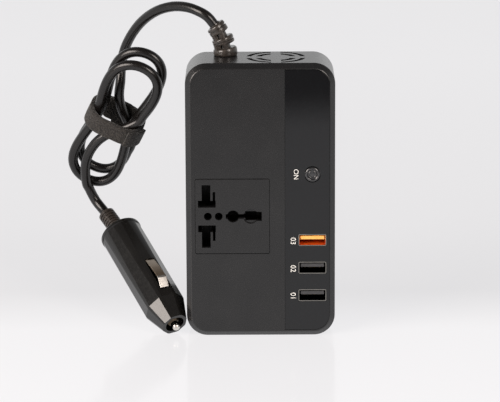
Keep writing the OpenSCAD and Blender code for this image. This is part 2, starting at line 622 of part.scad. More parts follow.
// Cord in three runs and the strap round its waist
module cord_lead() color("#2c2b2c") tube(lead_path, cord_d / 2, 10, [0, 1, 0]);
module cord_hank() color("#2c2b2c") tube(hank_path, cord_d / 2, 8, [0, 1, 0]);
module cord_tail() color("#2c2b2c") tube(tail_path, cord_d / 2, 10, [0, 1, 0]);
module strap_ring(g) {
    rrect(-tie_in[0] - g, -tie_in[1] - g, tie_in[0] + g, tie_in[1] + g, tie_in[2] + g);
}
module cord_tie() color("#1c1c1e")
    multmatrix([[hank_v[0], hank_n[0], hank_u[0], hank_c[0]], [hank_v[1], hank_n[1], hank_u[1], hank_c[1]],
                [hank_v[2], hank_n[2], hank_u[2], hank_c[2]]]) {
    linear_extrude(tie_w, center = true) difference() {
        strap_ring(tie_t);
        strap_ring(0);
    }
    linear_extrude(tie_w - 0.4, center = true) intersection() {
        difference() {
            strap_ring(2 * tie_t);
            strap_ring(tie_t - 0.1);
        }
        translate([4, -15]) square([14, 19]);
    }
    translate([0, 0, -1.6]) linear_extrude(tie_w + 3.4, center = true) intersection() {
        difference() {
            strap_ring(tie_t);
            strap_ring(0);
        }
        translate([-6.5, 4]) square([13, 10]);
    }
}

// Lighter plug along its own axis: nose rim at zero, cord end up
module plug_frame() {
    translate(plug_nose) rotate([plug_lean - 90, 0, plug_turn]) rotate(plug_roll) children();
}
module eight(z0, z1, a0, a1) {
    translate([0, 0, z0]) rotate(22.5)
        cylinder(h = z1 - z0, r1 = a0 / cos(22.5), r2 = a1 / cos(22.5), $fn = 8);
}
module bore(z0, z1, r) {
    translate([0, 0, z0]) cylinder(h = z1 - z0, r = r);
}
module plug_sleeve() color("#262627") plug_frame() difference() {
    union() {
        bore(plug_len - 6, plug_len - 4.5, 4.6);
        bore(plug_len - 4.6, plug_len + 0.1, 2.8);
        bore(plug_len, plug_len + sleeve_len, sleeve_r);
    }
    for (i = [0 : 5]) difference() {
        bore(plug_len + 3 + 1.6 * i, plug_len + 3.8 + 1.6 * i, sleeve_r + 1);
        bore(plug_len, plug_len + sleeve_len, sleeve_r - 0.45);
    }
}
module plug_body() color("#1e1e20") plug_frame() difference() {
    union() {
        intersection() {
            bore(nose_len, plug_len - 1.9, plug_r);
            eight(nose_len, plug_len, plug_r - 0.5, plug_r - 0.15);
        }
        bore(plug_len - 2, plug_len, plug_r + 0.3);
    }
    bore(nose_len - 1, nose_len + 34.5, 7.2);
    bore(nose_len + 36, plug_len - 4.5, 7.2);
    bore(plug_len - 5, plug_len + 1, 3.1);
    for (s = [-1, 1]) box([-3, s > 0 ? 0 : -12, nose_len + 3.6], [3, s > 0 ? 12 : 0, nose_len + 26.6]);
}
module nose_cap() color("#1e1e20") plug_frame() difference() {
    union() {
        intersection() {
            translate([0, 0, 0]) cylinder(h = nose_len, r1 = nose_r, r2 = plug_r);
            eight(0, nose_len, nose_r - 0.3, plug_r - 0.5);
        }
        bore(nose_len - 0.5, nose_len + 3, 6.9);
    }
    bore(-1, 3.6 + tip_travel, 4.6);
    bore(5, 9, 2.9);
    bore(8.5, nose_len + 4, 5.2);
}
module tip_contact() color("#c8cacd") plug_frame() {
    translate([0, 0, 1.9 - tip_out]) sphere(1.9);
    bore(1.9 - tip_out, 2, 1.9);
    translate([0, 0, 0.9]) cylinder(h = 0.8, r1 = 2.4, r2 = 3.4);
    bore(1.7, 3.3, 3.4);
    bore(3.2, 8.7, 2.6);
    bore(8.6, 10.5, 4.6);
}
module fuse_caps() color("#b9bcc0") plug_frame() {
    bore(10.5, 15, 2.75);
    bore(26, 30.5, 2.75);
}
module fuse_tube() color("#dfe6e6") plug_frame() bore(15, 26, 2.5);
apex = plug_r + side_travel;
spring_turns = 6;
spring_steps = 20 * spring_turns;
spring_path = [for (i = [0 : spring_steps])
    [2.1 * cos(18 * i), 2.1 * sin(18 * i), 30.95 + 12.6 * i / spring_steps]];
echo(spring_least_gap = self_near(spring_path, 10) - 0.7);
module tip_spring() color("#c8cacd") plug_frame() {
    tube(spring_path, 0.35, 6, [0, 0, 1]);
}
module spring_terminal() color("#c9a557") plug_frame() {
    bore(44, nose_len + 34.5, 4.5);
}
module leaf(s) color("#c8cacd") plug_frame() mirror([0, s, 0]) translate([-2.3, 0, 0]) rotate([90, 0, 90])
    linear_extrude(4.6) polygon([[-6.1, 42], [-6.1, 38.3], [-6.65, 36.5], [-8.42, 34.95],
        [0.62 - apex, 25.55], [-8.95, 19.6], [-6.7, 17.05], [-7.15, 16.6], [-9.5, 19.25], [-apex, 25.65],
        [-9, 35.25], [-7.1, 36.95], [-6.7, 38.5], [-6.7, 42]]);
module side_contact_a() leaf(0);
module side_contact_b() leaf(1);

rear_housing();
front_cover();
control_panel();
housing_screws();
socket_plate();
socket_base();
live_contact();
neutral_contact();
earth_contact();
socket_screws();
usb_shell_1();
usb_shell_2();
usb_shell_3();
usb_tongue_1();
usb_tongue_2();
usb_tongue_3();
usb_contacts();
power_button();
switch_plunger();
switch_body();
display_module();
control_board();
board_screws();
main_board();
main_screws();
transformer_core();
transformer_winding();
transformer_bobbin();
bulk_capacitor();
input_capacitors();
heatsink();
transistors();
fan_frame();
fan_stator();
fan_rotor();
strain_relief();
cord_lead();
cord_hank();
cord_tail();
cord_tie();
plug_sleeve();
plug_body();
nose_cap();
tip_contact();
fuse_caps();
fuse_tube();
tip_spring();
spring_terminal();
side_contact_a();
side_contact_b();
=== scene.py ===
# %% [markdown]
# # A pocket power inverter
# The object turns a car's supply into mains power: a bevelled plastic case on its end, an outlet,
# three charging ports and a button on the front, a fan under a grille on top, and a cord that is
# tied in a hank and ends in a lighter plug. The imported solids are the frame. Each visible solid
# gets a finer piece here, at the same place, and every surface gets a material made of nodes.

# %% Load the frame
import json
import math

import bpy
from mathutils import Matrix, Vector

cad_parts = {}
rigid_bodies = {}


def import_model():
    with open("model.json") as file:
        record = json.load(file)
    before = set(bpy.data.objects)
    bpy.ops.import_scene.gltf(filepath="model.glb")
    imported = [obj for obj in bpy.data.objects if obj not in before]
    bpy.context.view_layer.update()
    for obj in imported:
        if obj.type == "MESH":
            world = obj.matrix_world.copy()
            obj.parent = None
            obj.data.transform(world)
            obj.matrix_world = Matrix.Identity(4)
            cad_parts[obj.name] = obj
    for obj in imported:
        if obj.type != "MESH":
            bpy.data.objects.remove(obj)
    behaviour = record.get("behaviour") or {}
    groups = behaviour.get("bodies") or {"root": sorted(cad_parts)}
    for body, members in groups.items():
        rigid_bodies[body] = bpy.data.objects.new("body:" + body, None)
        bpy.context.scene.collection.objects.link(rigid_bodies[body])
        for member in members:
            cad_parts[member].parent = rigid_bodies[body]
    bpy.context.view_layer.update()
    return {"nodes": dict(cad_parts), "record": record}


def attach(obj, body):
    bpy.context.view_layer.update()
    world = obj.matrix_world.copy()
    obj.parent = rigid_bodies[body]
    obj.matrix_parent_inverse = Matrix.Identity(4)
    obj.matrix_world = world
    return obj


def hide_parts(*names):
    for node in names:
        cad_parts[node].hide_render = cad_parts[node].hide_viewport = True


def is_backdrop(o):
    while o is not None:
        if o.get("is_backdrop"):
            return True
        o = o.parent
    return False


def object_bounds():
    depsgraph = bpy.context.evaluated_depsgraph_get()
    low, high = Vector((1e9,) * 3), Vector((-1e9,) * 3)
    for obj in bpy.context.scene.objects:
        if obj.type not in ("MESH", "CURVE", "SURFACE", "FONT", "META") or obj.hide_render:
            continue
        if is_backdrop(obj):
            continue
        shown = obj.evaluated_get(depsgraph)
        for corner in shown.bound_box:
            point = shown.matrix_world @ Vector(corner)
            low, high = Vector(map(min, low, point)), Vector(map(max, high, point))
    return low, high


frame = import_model()
MM = 0.001

# %% [markdown]
# ## Camera
# The photograph was taken with a long lens from a little above. A long lens keeps upright lines
# nearly parallel. The camera is set by three directions (right, up, back) and a place, which a
# fit to the case's corners gave.

# %% Camera
tilt, roll = math.radians(13.32), math.radians(-0.25)
stand = Vector((-0.0049, -1.3841, 0.3894))
ahead = Vector((0, math.cos(tilt), -math.sin(tilt)))
level = Vector((1, 0, 0))
upward = Vector((0, math.sin(tilt), math.cos(tilt)))
cam_x = level * math.cos(roll) + upward * math.sin(roll)
cam_y = upward * math.cos(roll) - level * math.sin(roll)
camera = bpy.data.objects.new("camera", bpy.data.cameras.new("camera"))
bpy.context.scene.collection.objects.link(camera)
facing = Matrix((cam_x, cam_y, -ahead)).transposed().to_4x4()
camera.matrix_world = Matrix.Translation(stand) @ facing
camera.data.sensor_width = 36
camera.data.lens = 215.9
bpy.context.scene.camera = camera
print("camera lens", camera.data.lens)

# %% [markdown]
# ## Cord
# A round jacketed cord leaves the strain relief, arches over to the left, winds twice into a hank
# that a strap draws in at the waist, and runs down to the plug. A curve with a round bevel is the
# natural way to make it: the centreline is one open spline, and the thickness is a number. The
# route repeats the one in the part's source: smooth runs through chosen points, and a formula for
# the hank, so that the cord lies where its solids are. The two turns lie up to 0.7 mm closer, and
# the plug's sleeve leans five degrees towards the cord, as a soft sleeve does.

# %% Hank of the cord
cord_d = 4.8
hank_c = Vector((-70, 36, 94))
hank_roll, hank_tilt = math.radians(25.5), math.radians(22)
hank_u = Vector((math.sin(hank_roll) * math.cos(hank_tilt), -math.sin(hank_tilt),
                 math.cos(hank_roll) * math.cos(hank_tilt)))
hank_v = Vector((math.cos(hank_roll), 0, -math.sin(hank_roll)))
hank_n = hank_u.cross(hank_v)
hank_from, hank_run, hank_steps = 0.1, 1.83, 88
hank_up, hank_low, turn_step = 40, 36.7, 5.6


def in_hank(u, v, n):
    """A point given along the hank, across it and out of it."""
    return hank_c + u * hank_u + v * hank_v + n * hank_n


def hank_point(p):
    """A point of the hank after p turns: drawn in at the waist, each turn a step nearer the front."""
    c, s = math.cos(math.radians(90 + 360 * p)), math.sin(math.radians(90 + 360 * p))
    rise = (hank_up if c > 0 else hank_low) * c * (1.064 - 0.064 * c * c)
    wide = 13.8 if c < 0 else 13 if p < 1 and s > 0 else 16
    lean = 1.8 if c < 0 else 1.4 if p < 1 else 2.5
    side = s * (8.7 + wide * (math.sqrt(c * c + 0.0625) - 0.25)) + lean * c * c
    closer = 0.7 * math.sin(2 * math.pi * (p - hank_from) / hank_run)
    return in_hank(rise + turn_step * (1 - p) - closer, side + 0.8 * (1 - p), turn_step * (1 - p))


hank = [hank_point(hank_from + hank_run * i / hank_steps) for i in range(hank_steps + 1)]
hank_in = (hank[1] - hank[0]).normalized()
hank_out = (hank[-1] - hank[-2]).normalized()
print("hank:", hank_run, "turns,", len(hank), "points")

# %% Ends of the cord
case_top = 131
gland_x, gland_y = -16.1, 6
relief_bend, relief_turn = 22.8, math.radians(40)
relief_end = Vector((gland_x - relief_bend * (1 - math.cos(relief_turn)), gland_y,
                     case_top + relief_bend * math.sin(relief_turn)))
relief_dir = Vector((-math.sin(relief_turn), 0, math.cos(relief_turn)))
plug_nose = Vector((-40.8, -14.7, 5.3))
plug_lean, plug_turn = math.radians(33), math.radians(31.3)
plug_axis = Vector((-math.sin(plug_turn) * math.cos(plug_lean), math.cos(plug_turn) * math.cos(plug_lean),
                    math.sin(plug_lean)))
foot_at, sleeve_top = 60, 76
sleeve_end = plug_nose + sleeve_top * plug_axis
aside = (Vector((-1, 0, 0)) + plug_axis.x * plug_axis).normalized()
sleeve_foot = plug_nose + foot_at * plug_axis
sleeve_axis = (plug_axis + 0.085 * aside).normalized()
sleeve_tip = sleeve_foot + (sleeve_top - foot_at) * sleeve_axis
print("sleeve leans", round(math.degrees(plug_axis.angle(sleeve_axis)), 1), "degrees")

# %% Route of the cord
def through(points, steps):
    """Points on a smooth curve through the given ones."""
    p = [2 * points[0] - points[1], *points, 2 * points[-1] - points[-2]]
    out = []
    for a, b, c, d in zip(p, p[1:], p[2:], p[3:]):
        for k in range(steps):
            t = k / steps
            out.append(0.5 * (2 * b + (c - a) * t + (2 * a - 5 * b + 4 * c - d) * t * t
                              + (3 * b - a - 3 * c + d) * t ** 3))
    return out + [points[-1]]


lead = [relief_end, relief_end + cord_d * relief_dir]
lead += [relief_end + Vector(q) for q in ((-7.1, 1.5, 5.9), (-12.6, 5.5, 7.2), (-19.6, 11, 6.7),
                                          (-27.1, 17, 3.7), (-34.1, 23.5, -2))]
lead += [hank_c + Vector(q) for q in ((9, -1, 42.3), (5.1, 3.4, 34), (3.2, 6, 25.6))]
lead += [in_hank(*q) for q in ((14.5, -5.3, 10.5), (8.6, -3, 7.9), (3.2, 0.6, 6.8), (-1.8, 6, 6.2),
                               (-6.8, 10.4, 5.6))]
lead += [hank[0] - cord_d * hank_in, hank[0]]
tail = [hank[-1], hank[-1] + cord_d * hank_out]
tail += [in_hank(*q) for q in ((3.4, 7.2, -5.8), (-1.2, 3.2, -6.3), (-5.6, -0.7, -6.8),
                               (-10.6, -3.2, -7.2), (-15.8, -4.3, -7.6), (-20.8, -4.4, -7.8),
                               (-26, -3.4, -7.8), (-31, -1.5, -7.8), (-36, 1.1, -7.5))]
tail += [sleeve_end + Vector(q) for q in ((-9.6, 3.7, 11.6), (-8.7, 4.2, 9.5), (-7.7, 4.4, 7.4),
                                          (-6.3, 4.1, 5.0), (-4.6, 3.0, 3.0), (-2.8, 1.4, 1.2))]
tail += [sleeve_tip, sleeve_tip - 2.5 * sleeve_axis]
whole = through(lead, 3)[:-1] + hank[:-1] + through(tail, 3)
route = [q * MM for q in through(whole, 3)]

# %% Cord piece
cord_curve = bpy.data.curves.new("supply_cord", "CURVE")
cord_curve.dimensions = "3D"
cord_curve.bevel_depth = cord_d / 2 * MM
cord_curve.bevel_resolution = 5
cord_curve.use_fill_caps = True
spline = cord_curve.splines.new("POLY")
spline.points.add(len(route) - 1)
for point, q in zip(spline.points, route):
    point.co = (*q, 1)
spline.use_smooth = True
supply_cord = bpy.data.objects.new("supply_cord", cord_curve)
bpy.context.scene.collection.objects.link(supply_cord)
print("cord piece: one open spline")

# %% [markdown]
# ## Helpers for modelling
# Blender's operators act on what is selected, so each step starts with one selected object. Faces
# and edges are picked by their place or direction. A cutter is a second solid that a Boolean
# modifier takes away, as a moulding tool leaves a hole.

# %% Selecting
def only(obj):
    """Selects obj alone, in object mode."""
    bpy.ops.object.select_all(action="DESELECT")
    obj.select_set(True)
    bpy.context.view_layer.objects.active = obj
    return obj


def pick(obj, kind, test):
    """Goes to edit mode with the faces or edges selected whose middle and direction pass the test."""
    only(obj)
    bpy.ops.object.mode_set(mode="EDIT")
    bpy.ops.mesh.select_mode(type=kind)
    bpy.ops.mesh.select_all(action="DESELECT")
    bpy.ops.object.mode_set(mode="OBJECT")
    mesh = obj.data
    if kind == "FACE":
        for f in mesh.polygons:
            f.select = test(f.center / MM, f.normal)
    else:
        for e in mesh.edges:
            a, b = (mesh.vertices[i].co / MM for i in e.vertices)
            e.select = test((a + b) / 2, (b - a).normalized())
    bpy.ops.object.mode_set(mode="EDIT")


def pick_all(obj):
    """Goes to edit mode with everything selected."""
    only(obj)
    bpy.ops.object.mode_set(mode="EDIT")
    bpy.ops.mesh.select_all(action="SELECT")


def done():
    """Goes back to object mode."""
    bpy.ops.object.mode_set(mode="OBJECT")


def looks_front(c, n):
    """True for a face that looks to the front."""
    return n.y < -0.99


def looks_back(c, n):
    """True for a face that looks to the back."""
    return n.y > 0.99


print("selecting ready")

# %% Changing a piece
def modify(obj, kind, **settings):
    """Adds a modifier with its settings and applies it."""
    only(obj)
    change = obj.modifiers.new("change", kind)
    for name, value in settings.items():
        setattr(change, name, value)
    bpy.ops.object.modifier_apply(modifier=change.name)
    return obj


def combine(obj, tool, how="DIFFERENCE"):
    """Takes the tool away from obj, or joins it on, and removes the tool."""
    modify(obj, "BOOLEAN", operation=how, object=tool, solver="EXACT")
    bpy.data.objects.remove(tool)
    return obj


def bevel(size, steps):
    """Rounds the selected edges by a size in millimetres."""
    bpy.ops.mesh.bevel(offset=size * MM, segments=steps, profile=0.5, affect="EDGES", clamp_overlap=True)


def round_rim(obj, test, size, steps):
    """Rounds the outline of the faces that pass the test."""
    pick(obj, "FACE", test)
    bpy.ops.mesh.region_to_loop()
    bevel(size, steps)
    done()


def soften(obj, angle=30):
    """Smooth shading over curves, with sharper edges kept and large faces kept flat."""
    only(obj)
    bpy.ops.object.shade_smooth_by_angle(angle=math.radians(angle))
    return modify(obj, "WEIGHTED_NORMAL", keep_sharp=True, weight=100)


def settle(obj):
    """Puts the place, turn and size of a piece into its mesh."""
    only(obj)
    bpy.ops.object.transform_apply(location=True, rotation=True, scale=True)
    return obj


def place(obj, matrix):
    """Puts a piece that was modelled about the origin at its place in the frame."""
    obj.matrix_world = matrix
    return settle(obj)


def at(x, y, z):
    """A move in millimetres."""
    return Matrix.Translation((x * MM, y * MM, z * MM))


def copy_at(obj, name, move):
    """A copy with its own mesh, moved in millimetres."""
    only(obj)
    bpy.ops.object.duplicate()
    twin = bpy.context.object
    twin.name = name
    twin.location = [a * MM for a in move]
    return settle(twin)


print("changes ready")

# %% Starting a piece
def block(name, low, high):
    """A box from corner to corner, in millimetres."""
    bpy.ops.object.select_all(action="DESELECT")
    centre = [(a + b) / 2 * MM for a, b in zip(low, high)]
    bpy.ops.mesh.primitive_cube_add(size=1, location=centre)
    obj = bpy.context.object
    obj.name = name
    obj.scale = [(b - a) * MM for a, b in zip(low, high)]
    return settle(obj)


def rounded(name, low, high, radius, steps=8, keep=lambda c: True, along=1):
    """A box whose edges along one axis are rounded, where keep agrees."""
    obj = block(name, low, high)
    pick(obj, "EDGE", lambda c, d: abs(d[along]) > 0.99 and keep(c))
    bevel(radius, steps)
    done()
    return obj


def rod(name, x, z, y0, y1, r, sides=64):
    """A cylinder from front to back."""
    bpy.ops.object.select_all(action="DESELECT")
    bpy.ops.mesh.primitive_cylinder_add(vertices=sides, radius=r * MM, depth=(y1 - y0) * MM,
                                        location=(x * MM, (y0 + y1) / 2 * MM, z * MM),
                                        rotation=(math.pi / 2, 0, 0))
    obj = bpy.context.object
    obj.name = name
    return settle(obj)


def post(name, x, y, z0, z1, r, sides=64, r2=None):
    """An upright cylinder or cone."""
    bpy.ops.object.select_all(action="DESELECT")
    bpy.ops.mesh.primitive_cone_add(vertices=sides, radius1=r * MM, radius2=(r if r2 is None else r2) * MM,
                                    depth=(z1 - z0) * MM, location=(x * MM, y * MM, (z0 + z1) / 2 * MM))
    obj = bpy.context.object
    obj.name = name
    return settle(obj)


def from_points(name, points, edges, faces):
    """A piece made of points in metres, with edges or faces between them."""
    mesh = bpy.data.meshes.new(name)
    mesh.from_pydata(points, edges, faces)
    obj = bpy.data.objects.new(name, mesh)
    bpy.context.scene.collection.objects.link(obj)
    return only(obj)


def lathe(name, profile, sides=64):
    """Spins a profile of (radius, height) in millimetres round the upright axis."""
    links = [(i, i + 1) for i in range(len(profile) - 1)]
    obj = from_points(name, [(r * MM, 0, z * MM) for r, z in profile], links, [])
    pick_all(obj)
    bpy.ops.mesh.spin(steps=sides, angle=2 * math.pi, center=(0, 0, 0), axis=(0, 0, 1))
    bpy.ops.mesh.select_all(action="SELECT")
    bpy.ops.mesh.remove_doubles(threshold=0.00001)
    bpy.ops.mesh.normals_make_consistent(inside=False)
    done()
    return obj


def arc(r, z, wide, high, angles):
    """Points of a profile on an arc about (r, z), at angles in degrees."""
    turns = [math.radians(a) for a in angles]
    return [(r + wide * math.cos(a), z + high * math.sin(a)) for a in turns]


print("helpers ready")

# %% [markdown]
# ## Rear half of the case
# A moulded tub: five walls with round corners, a softly rounded back edge, fan grille and gland
# hole on top, vents below, and four screw posts. A cube with bevelled edges gives the outside,
# deleting its front face and thickening the sheet gives the walls, and cutters make the holes.

# %% Tub
half_width, front, cover_back, back = 35, -17, -14.6, 17
corner_r, corner_steps = 10, 16
wall, back_edge_r = 1.8, 2.6
screw_places = [(x, z) for x in (-27.5, 27.5) for z in (9, 122)]
case_back = rounded("case_back", (-half_width, cover_back, 0), (half_width, back, case_top),
                    corner_r, corner_steps)
round_rim(case_back, looks_back, back_edge_r, 6)
pick(case_back, "FACE", looks_front)
bpy.ops.mesh.delete(type="FACE")
done()
modify(case_back, "SOLIDIFY", thickness=wall * MM, offset=-1, use_even_offset=True)
for x, z in screw_places:
    combine(case_back, rod("post", x, z, -4, 15.7, 3.2, 32), "UNION")
print("tub faces:", len(case_back.data.polygons))

# %% Grille, gland hole, vents and screw holes
fan_x, half_spoke = 7.5, 2.35
slots = post("slots", fan_x, 0, 128, 132, 14, 96)
for outer, inner in ((11.8, 9.6), (7, None)):
    ring = post("ring", fan_x, 0, 127, 133, outer, 96)
    if inner:
        combine(ring, post("hole", fan_x, 0, 126, 134, inner, 96))
    combine(slots, ring)
combine(slots, block("spoke", (-10, -half_spoke, 126), (25, half_spoke, 134)))
combine(slots, block("spoke", (fan_x - half_spoke, -20, 126), (fan_x + half_spoke, 20, 134)))
combine(case_back, slots)
combine(case_back, post("gland", gland_x, gland_y, 127, 133, 4.3))
for i in range(8):
    x = 5 * (i - 3.5)
    combine(case_back, rounded("vent", (x - 1.1, -9, -1), (x + 1.1, 9, 3), 1, 4, along=2))
for x, z in screw_places:
    combine(case_back, rod("sunk", x, z, 13, 18, 3, 32))
    combine(case_back, rod("through", x, z, -5, 14, 1.6, 24))
soften(case_back)
print("tub with holes:", len(case_back.data.polygons), "faces")

# %% [markdown]
# ## Front cover
# A thin plate with a flat bevel all round, a shallow recess for the gloss strip and openings for
# the outlet, ports, button and display. The bevel and the small rounding at its edge catch the
# light that outlines the case in the photograph, so both are real geometry.

# %% Cover plate
port_heights = (19.9, 33.3, 46.7)
button_x, button_z = 24.35, 78.4
cover_bevel, cover_edge_r = 2.35, 0.35
cut_from = front - 1
case_front = rounded("case_front", (-half_width, front, 0), (half_width, cover_back, case_top),
                     corner_r, corner_steps)
round_rim(case_front, looks_front, cover_bevel, 1)
round_rim(case_front, looks_front, cover_edge_r, 3)
combine(case_front, rounded("hollow", (-31.5, -15.2, 3.5), (31.5, -14, 127.5), 6.5, 12))
combine(case_front, rounded("strip_recess", (11.4, cut_from, 2.95), (32.5, -16.2, 128.25), 7.45, 12,
                            lambda c: c.x > 20))
combine(case_front, rounded("outlet_opening", (-30.75, cut_from, 40.15), (4.35, -14, 76.45), 0.95, 4))
for z in port_heights:
    combine(case_front, block("port_opening", (17.55, cut_from, z - 3.1), (31.15, -14, z + 3.1)))
combine(case_front, rod("button_hole", button_x, button_z, cut_from, -14, 3.9))
combine(case_front, block("display_opening", (18.95, cut_from, 53), (30.95, -14, 72.6)))
soften(case_front)
print("cover:", len(case_front.data.polygons), "faces")

# %% [markdown]
# ## Gloss strip
# A smoked acrylic strip lies flush in the recess on the right. Its right corners follow the case,
# its left corners are square, and its edge is broken by a fine bevel that shows as a thin line.

# %% Strip
strip = rounded("gloss_strip", (11.55, front, 3.1), (32.35, -16.2, 128.1), 7.3, 12, lambda c: c.x > 20)
round_rim(strip, looks_front, 0.12, 2)
for z in port_heights:
    combine(strip, rounded("port", (17.65, cut_from, z - 3), (31.05, -15, z + 3), 0.6, 4))
combine(strip, rod("button", button_x, button_z, cut_from, -15, 3.9))
soften(strip)
print("strip:", len(strip.data.polygons), "faces")

# %% [markdown]
# ## Mains outlet
# The insert takes flat, round and oblong pins, so its holes are unions of several pin shapes. They
# are cut one after another from a plate with broken edges, and a shallow round seat surrounds the
# earth hole's right half.

# %% Outlet plate
pins_z = 58.3
flat_pins = (((-27.55, 5), (-23.45, 15.1)), ((-29.3, 4.3), (-21, 7.6)), ((-22.4, 7.2), (-21.2, 11.8)))
outlet = rounded("outlet_plate", (-30.6, front, 40.35), (4.2, -15.2, 76.25), 0.8, 4)
round_rim(outlet, looks_front, 0.3, 2)
combine(outlet, block("flange", (-31.3, -15.3, 39.2), (4.9, -13.7, 77.4)), "UNION")
combine(outlet, rod("earth_seat", -4.6, pins_z, cut_from, -15.6, 3.55))
for side in (1, -1):
    for low, high in flat_pins:
        zs = sorted((pins_z + side * low[1], pins_z + side * high[1]))
        combine(outlet, block("pin", (low[0], cut_from, zs[0]), (high[0], -13, zs[1])))
for name, x, r in (("round_pin", -24.7, 1.85), ("round_pin", -19.6, 1.85), ("earth_pin", -12.9, 2.9)):
    combine(outlet, rod(name, x, pins_z, cut_from, -13, r))
combine(outlet, block("earth_neck", (-16.3, cut_from, 57.2), (-5.2, -13, 59.4)))
combine(outlet, block("earth_blade", (-7.2, cut_from, 56.1), (0.6, -13, 60.5)))
soften(outlet)
print("outlet plate:", len(outlet.data.polygons), "faces")

# %% [markdown]
# ## Charging ports
# Each port is a folded steel shell round a plastic tongue. The shell is one box with rounded edges
# whose front is inset and pushed in, so the thin metal rim is real. It is made once and copied. The
# third port is lined with its coloured plastic.

# %% Shell
shell = rounded("port_shell_1", (17.8, -16.9, 17.05), (30.9, -3, 22.75), 0.6, 4)
pick(shell, "FACE", looks_front)
bpy.ops.mesh.inset(thickness=0.32 * MM)
bpy.ops.mesh.extrude_region_move(TRANSFORM_OT_translate={"value": (0, 9.8 * MM, 0)})
done()
round_rim(shell, lambda c, n: looks_back(c, n) and c.y > -4, 0.2, 2)
soften(shell)
print("port shell:", len(shell.data.polygons), "faces")

# %% Tongue
tongue = rounded("port_tongue_1", (18.75, -16.1, 20), (29.95, -6.9, 21.85), 0.3, 3)
round_rim(tongue, looks_front, 0.35, 3)
combine(tongue, block("root", (18.2, -7.05, 17.45), (30.5, -3, 22.35)), "UNION")
soften(tongue)
print("port tongue:", len(tongue.data.polygons), "faces")

# %% Copies and the lining of the third port
port_pitch = 13.4
shells = [shell] + [copy_at(shell, f"port_shell_{i + 1}", (0, 0, port_pitch * i)) for i in (1, 2)]
tongues = [tongue] + [copy_at(tongue, f"port_tongue_{i + 1}", (0, 0, port_pitch * i)) for i in (1, 2)]
for low, high in (((18.2, -16.3, 44.28), (30.5, -6.9, 44.45)), ((18.2, -16.3, 44.28), (18.4, -6.9, 49.1)),
                  ((30.3, -16.3, 44.28), (30.5, -6.9, 49.1))):
    combine(tongues[2], block("lining", low, high), "UNION")
soften(tongues[2])
print("ports:", len(shells), "shells and", len(tongues), "tongues")

# %% [markdown]
# ## Push button
# A round cap in a round hole, with a rounded rim and a raised ring and bar, the common sign for
# power. The rim and the ring are beads in one profile that is spun round the button's axis. They are
# polished, so each bead draws its own thin lines of light.

# %% Button cap
cap = [(0, -9), (1.5, -9), (1.5, -2.8), (4.9, -2.8), (4.9, -1.85), (3.5, -1.85)]
cap += arc(2.85, -0.05, 0.65, 0.65, range(0, 151, 15))
cap += [(2.15, 0.18)]
cap += arc(1.65, 0.16, -0.42, 0.4, range(30, 151, 20))[::-1]
cap += [(1.15, 0.2), (0, 0.26)]
button = lathe("button_cap", cap, 96)
combine(button, block("gap", (-0.65, 0.4, 0.22), (0.65, 2.25, 1)))
combine(button, rounded("bar", (-0.27, 0.5, 0.1), (0.27, 2.1, 0.52), 0.22, 4), "UNION")
place(soften(button, 40), at(button_x, front, button_z) @ Matrix.Rotation(math.pi / 2, 4, "X"))
print("button:", len(button.data.polygons), "faces")

# %% [markdown]
# ## Strain relief
# A rubber sleeve of three collars joined by webs, with windows between them that let it bend. It is
# modelled straight, where cuts and unions are simple, and each point is then carried onto an arc,
# which is what bending does to it.

# %% Relief
collars = [(0, 0), (4.9, 0), (5.4, 0.2), (5.65, 0.7), (5.65, 2.6), (5.45, 3.3), (4.9, 3.7), (2.75, 3.75)]
collars += [(2.7, 5.55), (4.6, 5.6), (5.05, 5.8), (5.2, 6.2), (5.2, 6.85), (4.7, 7), (4.7, 7.3), (5.2, 7.45),
            (5.2, 8.2), (5.05, 8.6), (4.6, 8.8), (2.7, 8.85)]
collars += [(2.65, 11.15), (4.1, 11.2), (4.5, 11.4), (4.6, 11.8), (4.6, 13.25), (4.1, 13.4), (4.1, 13.8),
            (4.6, 13.95), (4.55, 14.8), (4.35, 15.25), (3.9, 15.4), (2.9, 15.45), (2.9, 15.9), (0, 15.9)]
relief = lathe("relief", collars, 72)
for low, high, r in ((3.5, 5.9, 5.1), (8.6, 11.5, 4.4)):
    for turn, wide in ((180, 3.2), (80, 1.1), (-80, 1.1)):
        web = post("web", 0, 0, low, high, r, 48)
        side = rounded("side", (1.5, -wide, low - 1), (7, wide, high + 1), 0.4, 3, along=2)
        combine(web, place(side, Matrix.Rotation(math.radians(turn), 4, "Z")), "INTERSECT")
        combine(relief, web, "UNION")
print("straight relief:", len(relief.data.polygons), "faces")

# %% Bend the relief and add its gland
pick_all(relief)
bpy.ops.mesh.subdivide(number_cuts=1)
done()
for vertex in relief.data.vertices:
    x, y, s = vertex.co / MM
    a = s / relief_bend
    vertex.co = Vector((gland_x - relief_bend * (1 - math.cos(a)) + x * math.cos(a), gland_y + y,
                        case_top + relief_bend * math.sin(a) + x * math.sin(a))) * MM
gland = lathe("gland", ((0, -3.6), (5.4, -3.6), (5.4, -1.85), (4, -1.8), (4, 0.05), (0, 0.05)))
combine(relief, place(gland, at(gland_x, gland_y, case_top)), "UNION")
soften(relief, 35)
print("relief:", len(relief.data.polygons), "faces")

# %% [markdown]
# ## Hook and loop tie
# A woven strap laps round the waist of the hank and over its own start. A bevelled box without top
# and bottom is a band, and Solidify gives it thickness. The pile is left to its material.

# %% Tie
hank_place = Matrix((hank_v, hank_n, hank_u)).transposed().to_4x4()
hank_place.translation = hank_c * MM


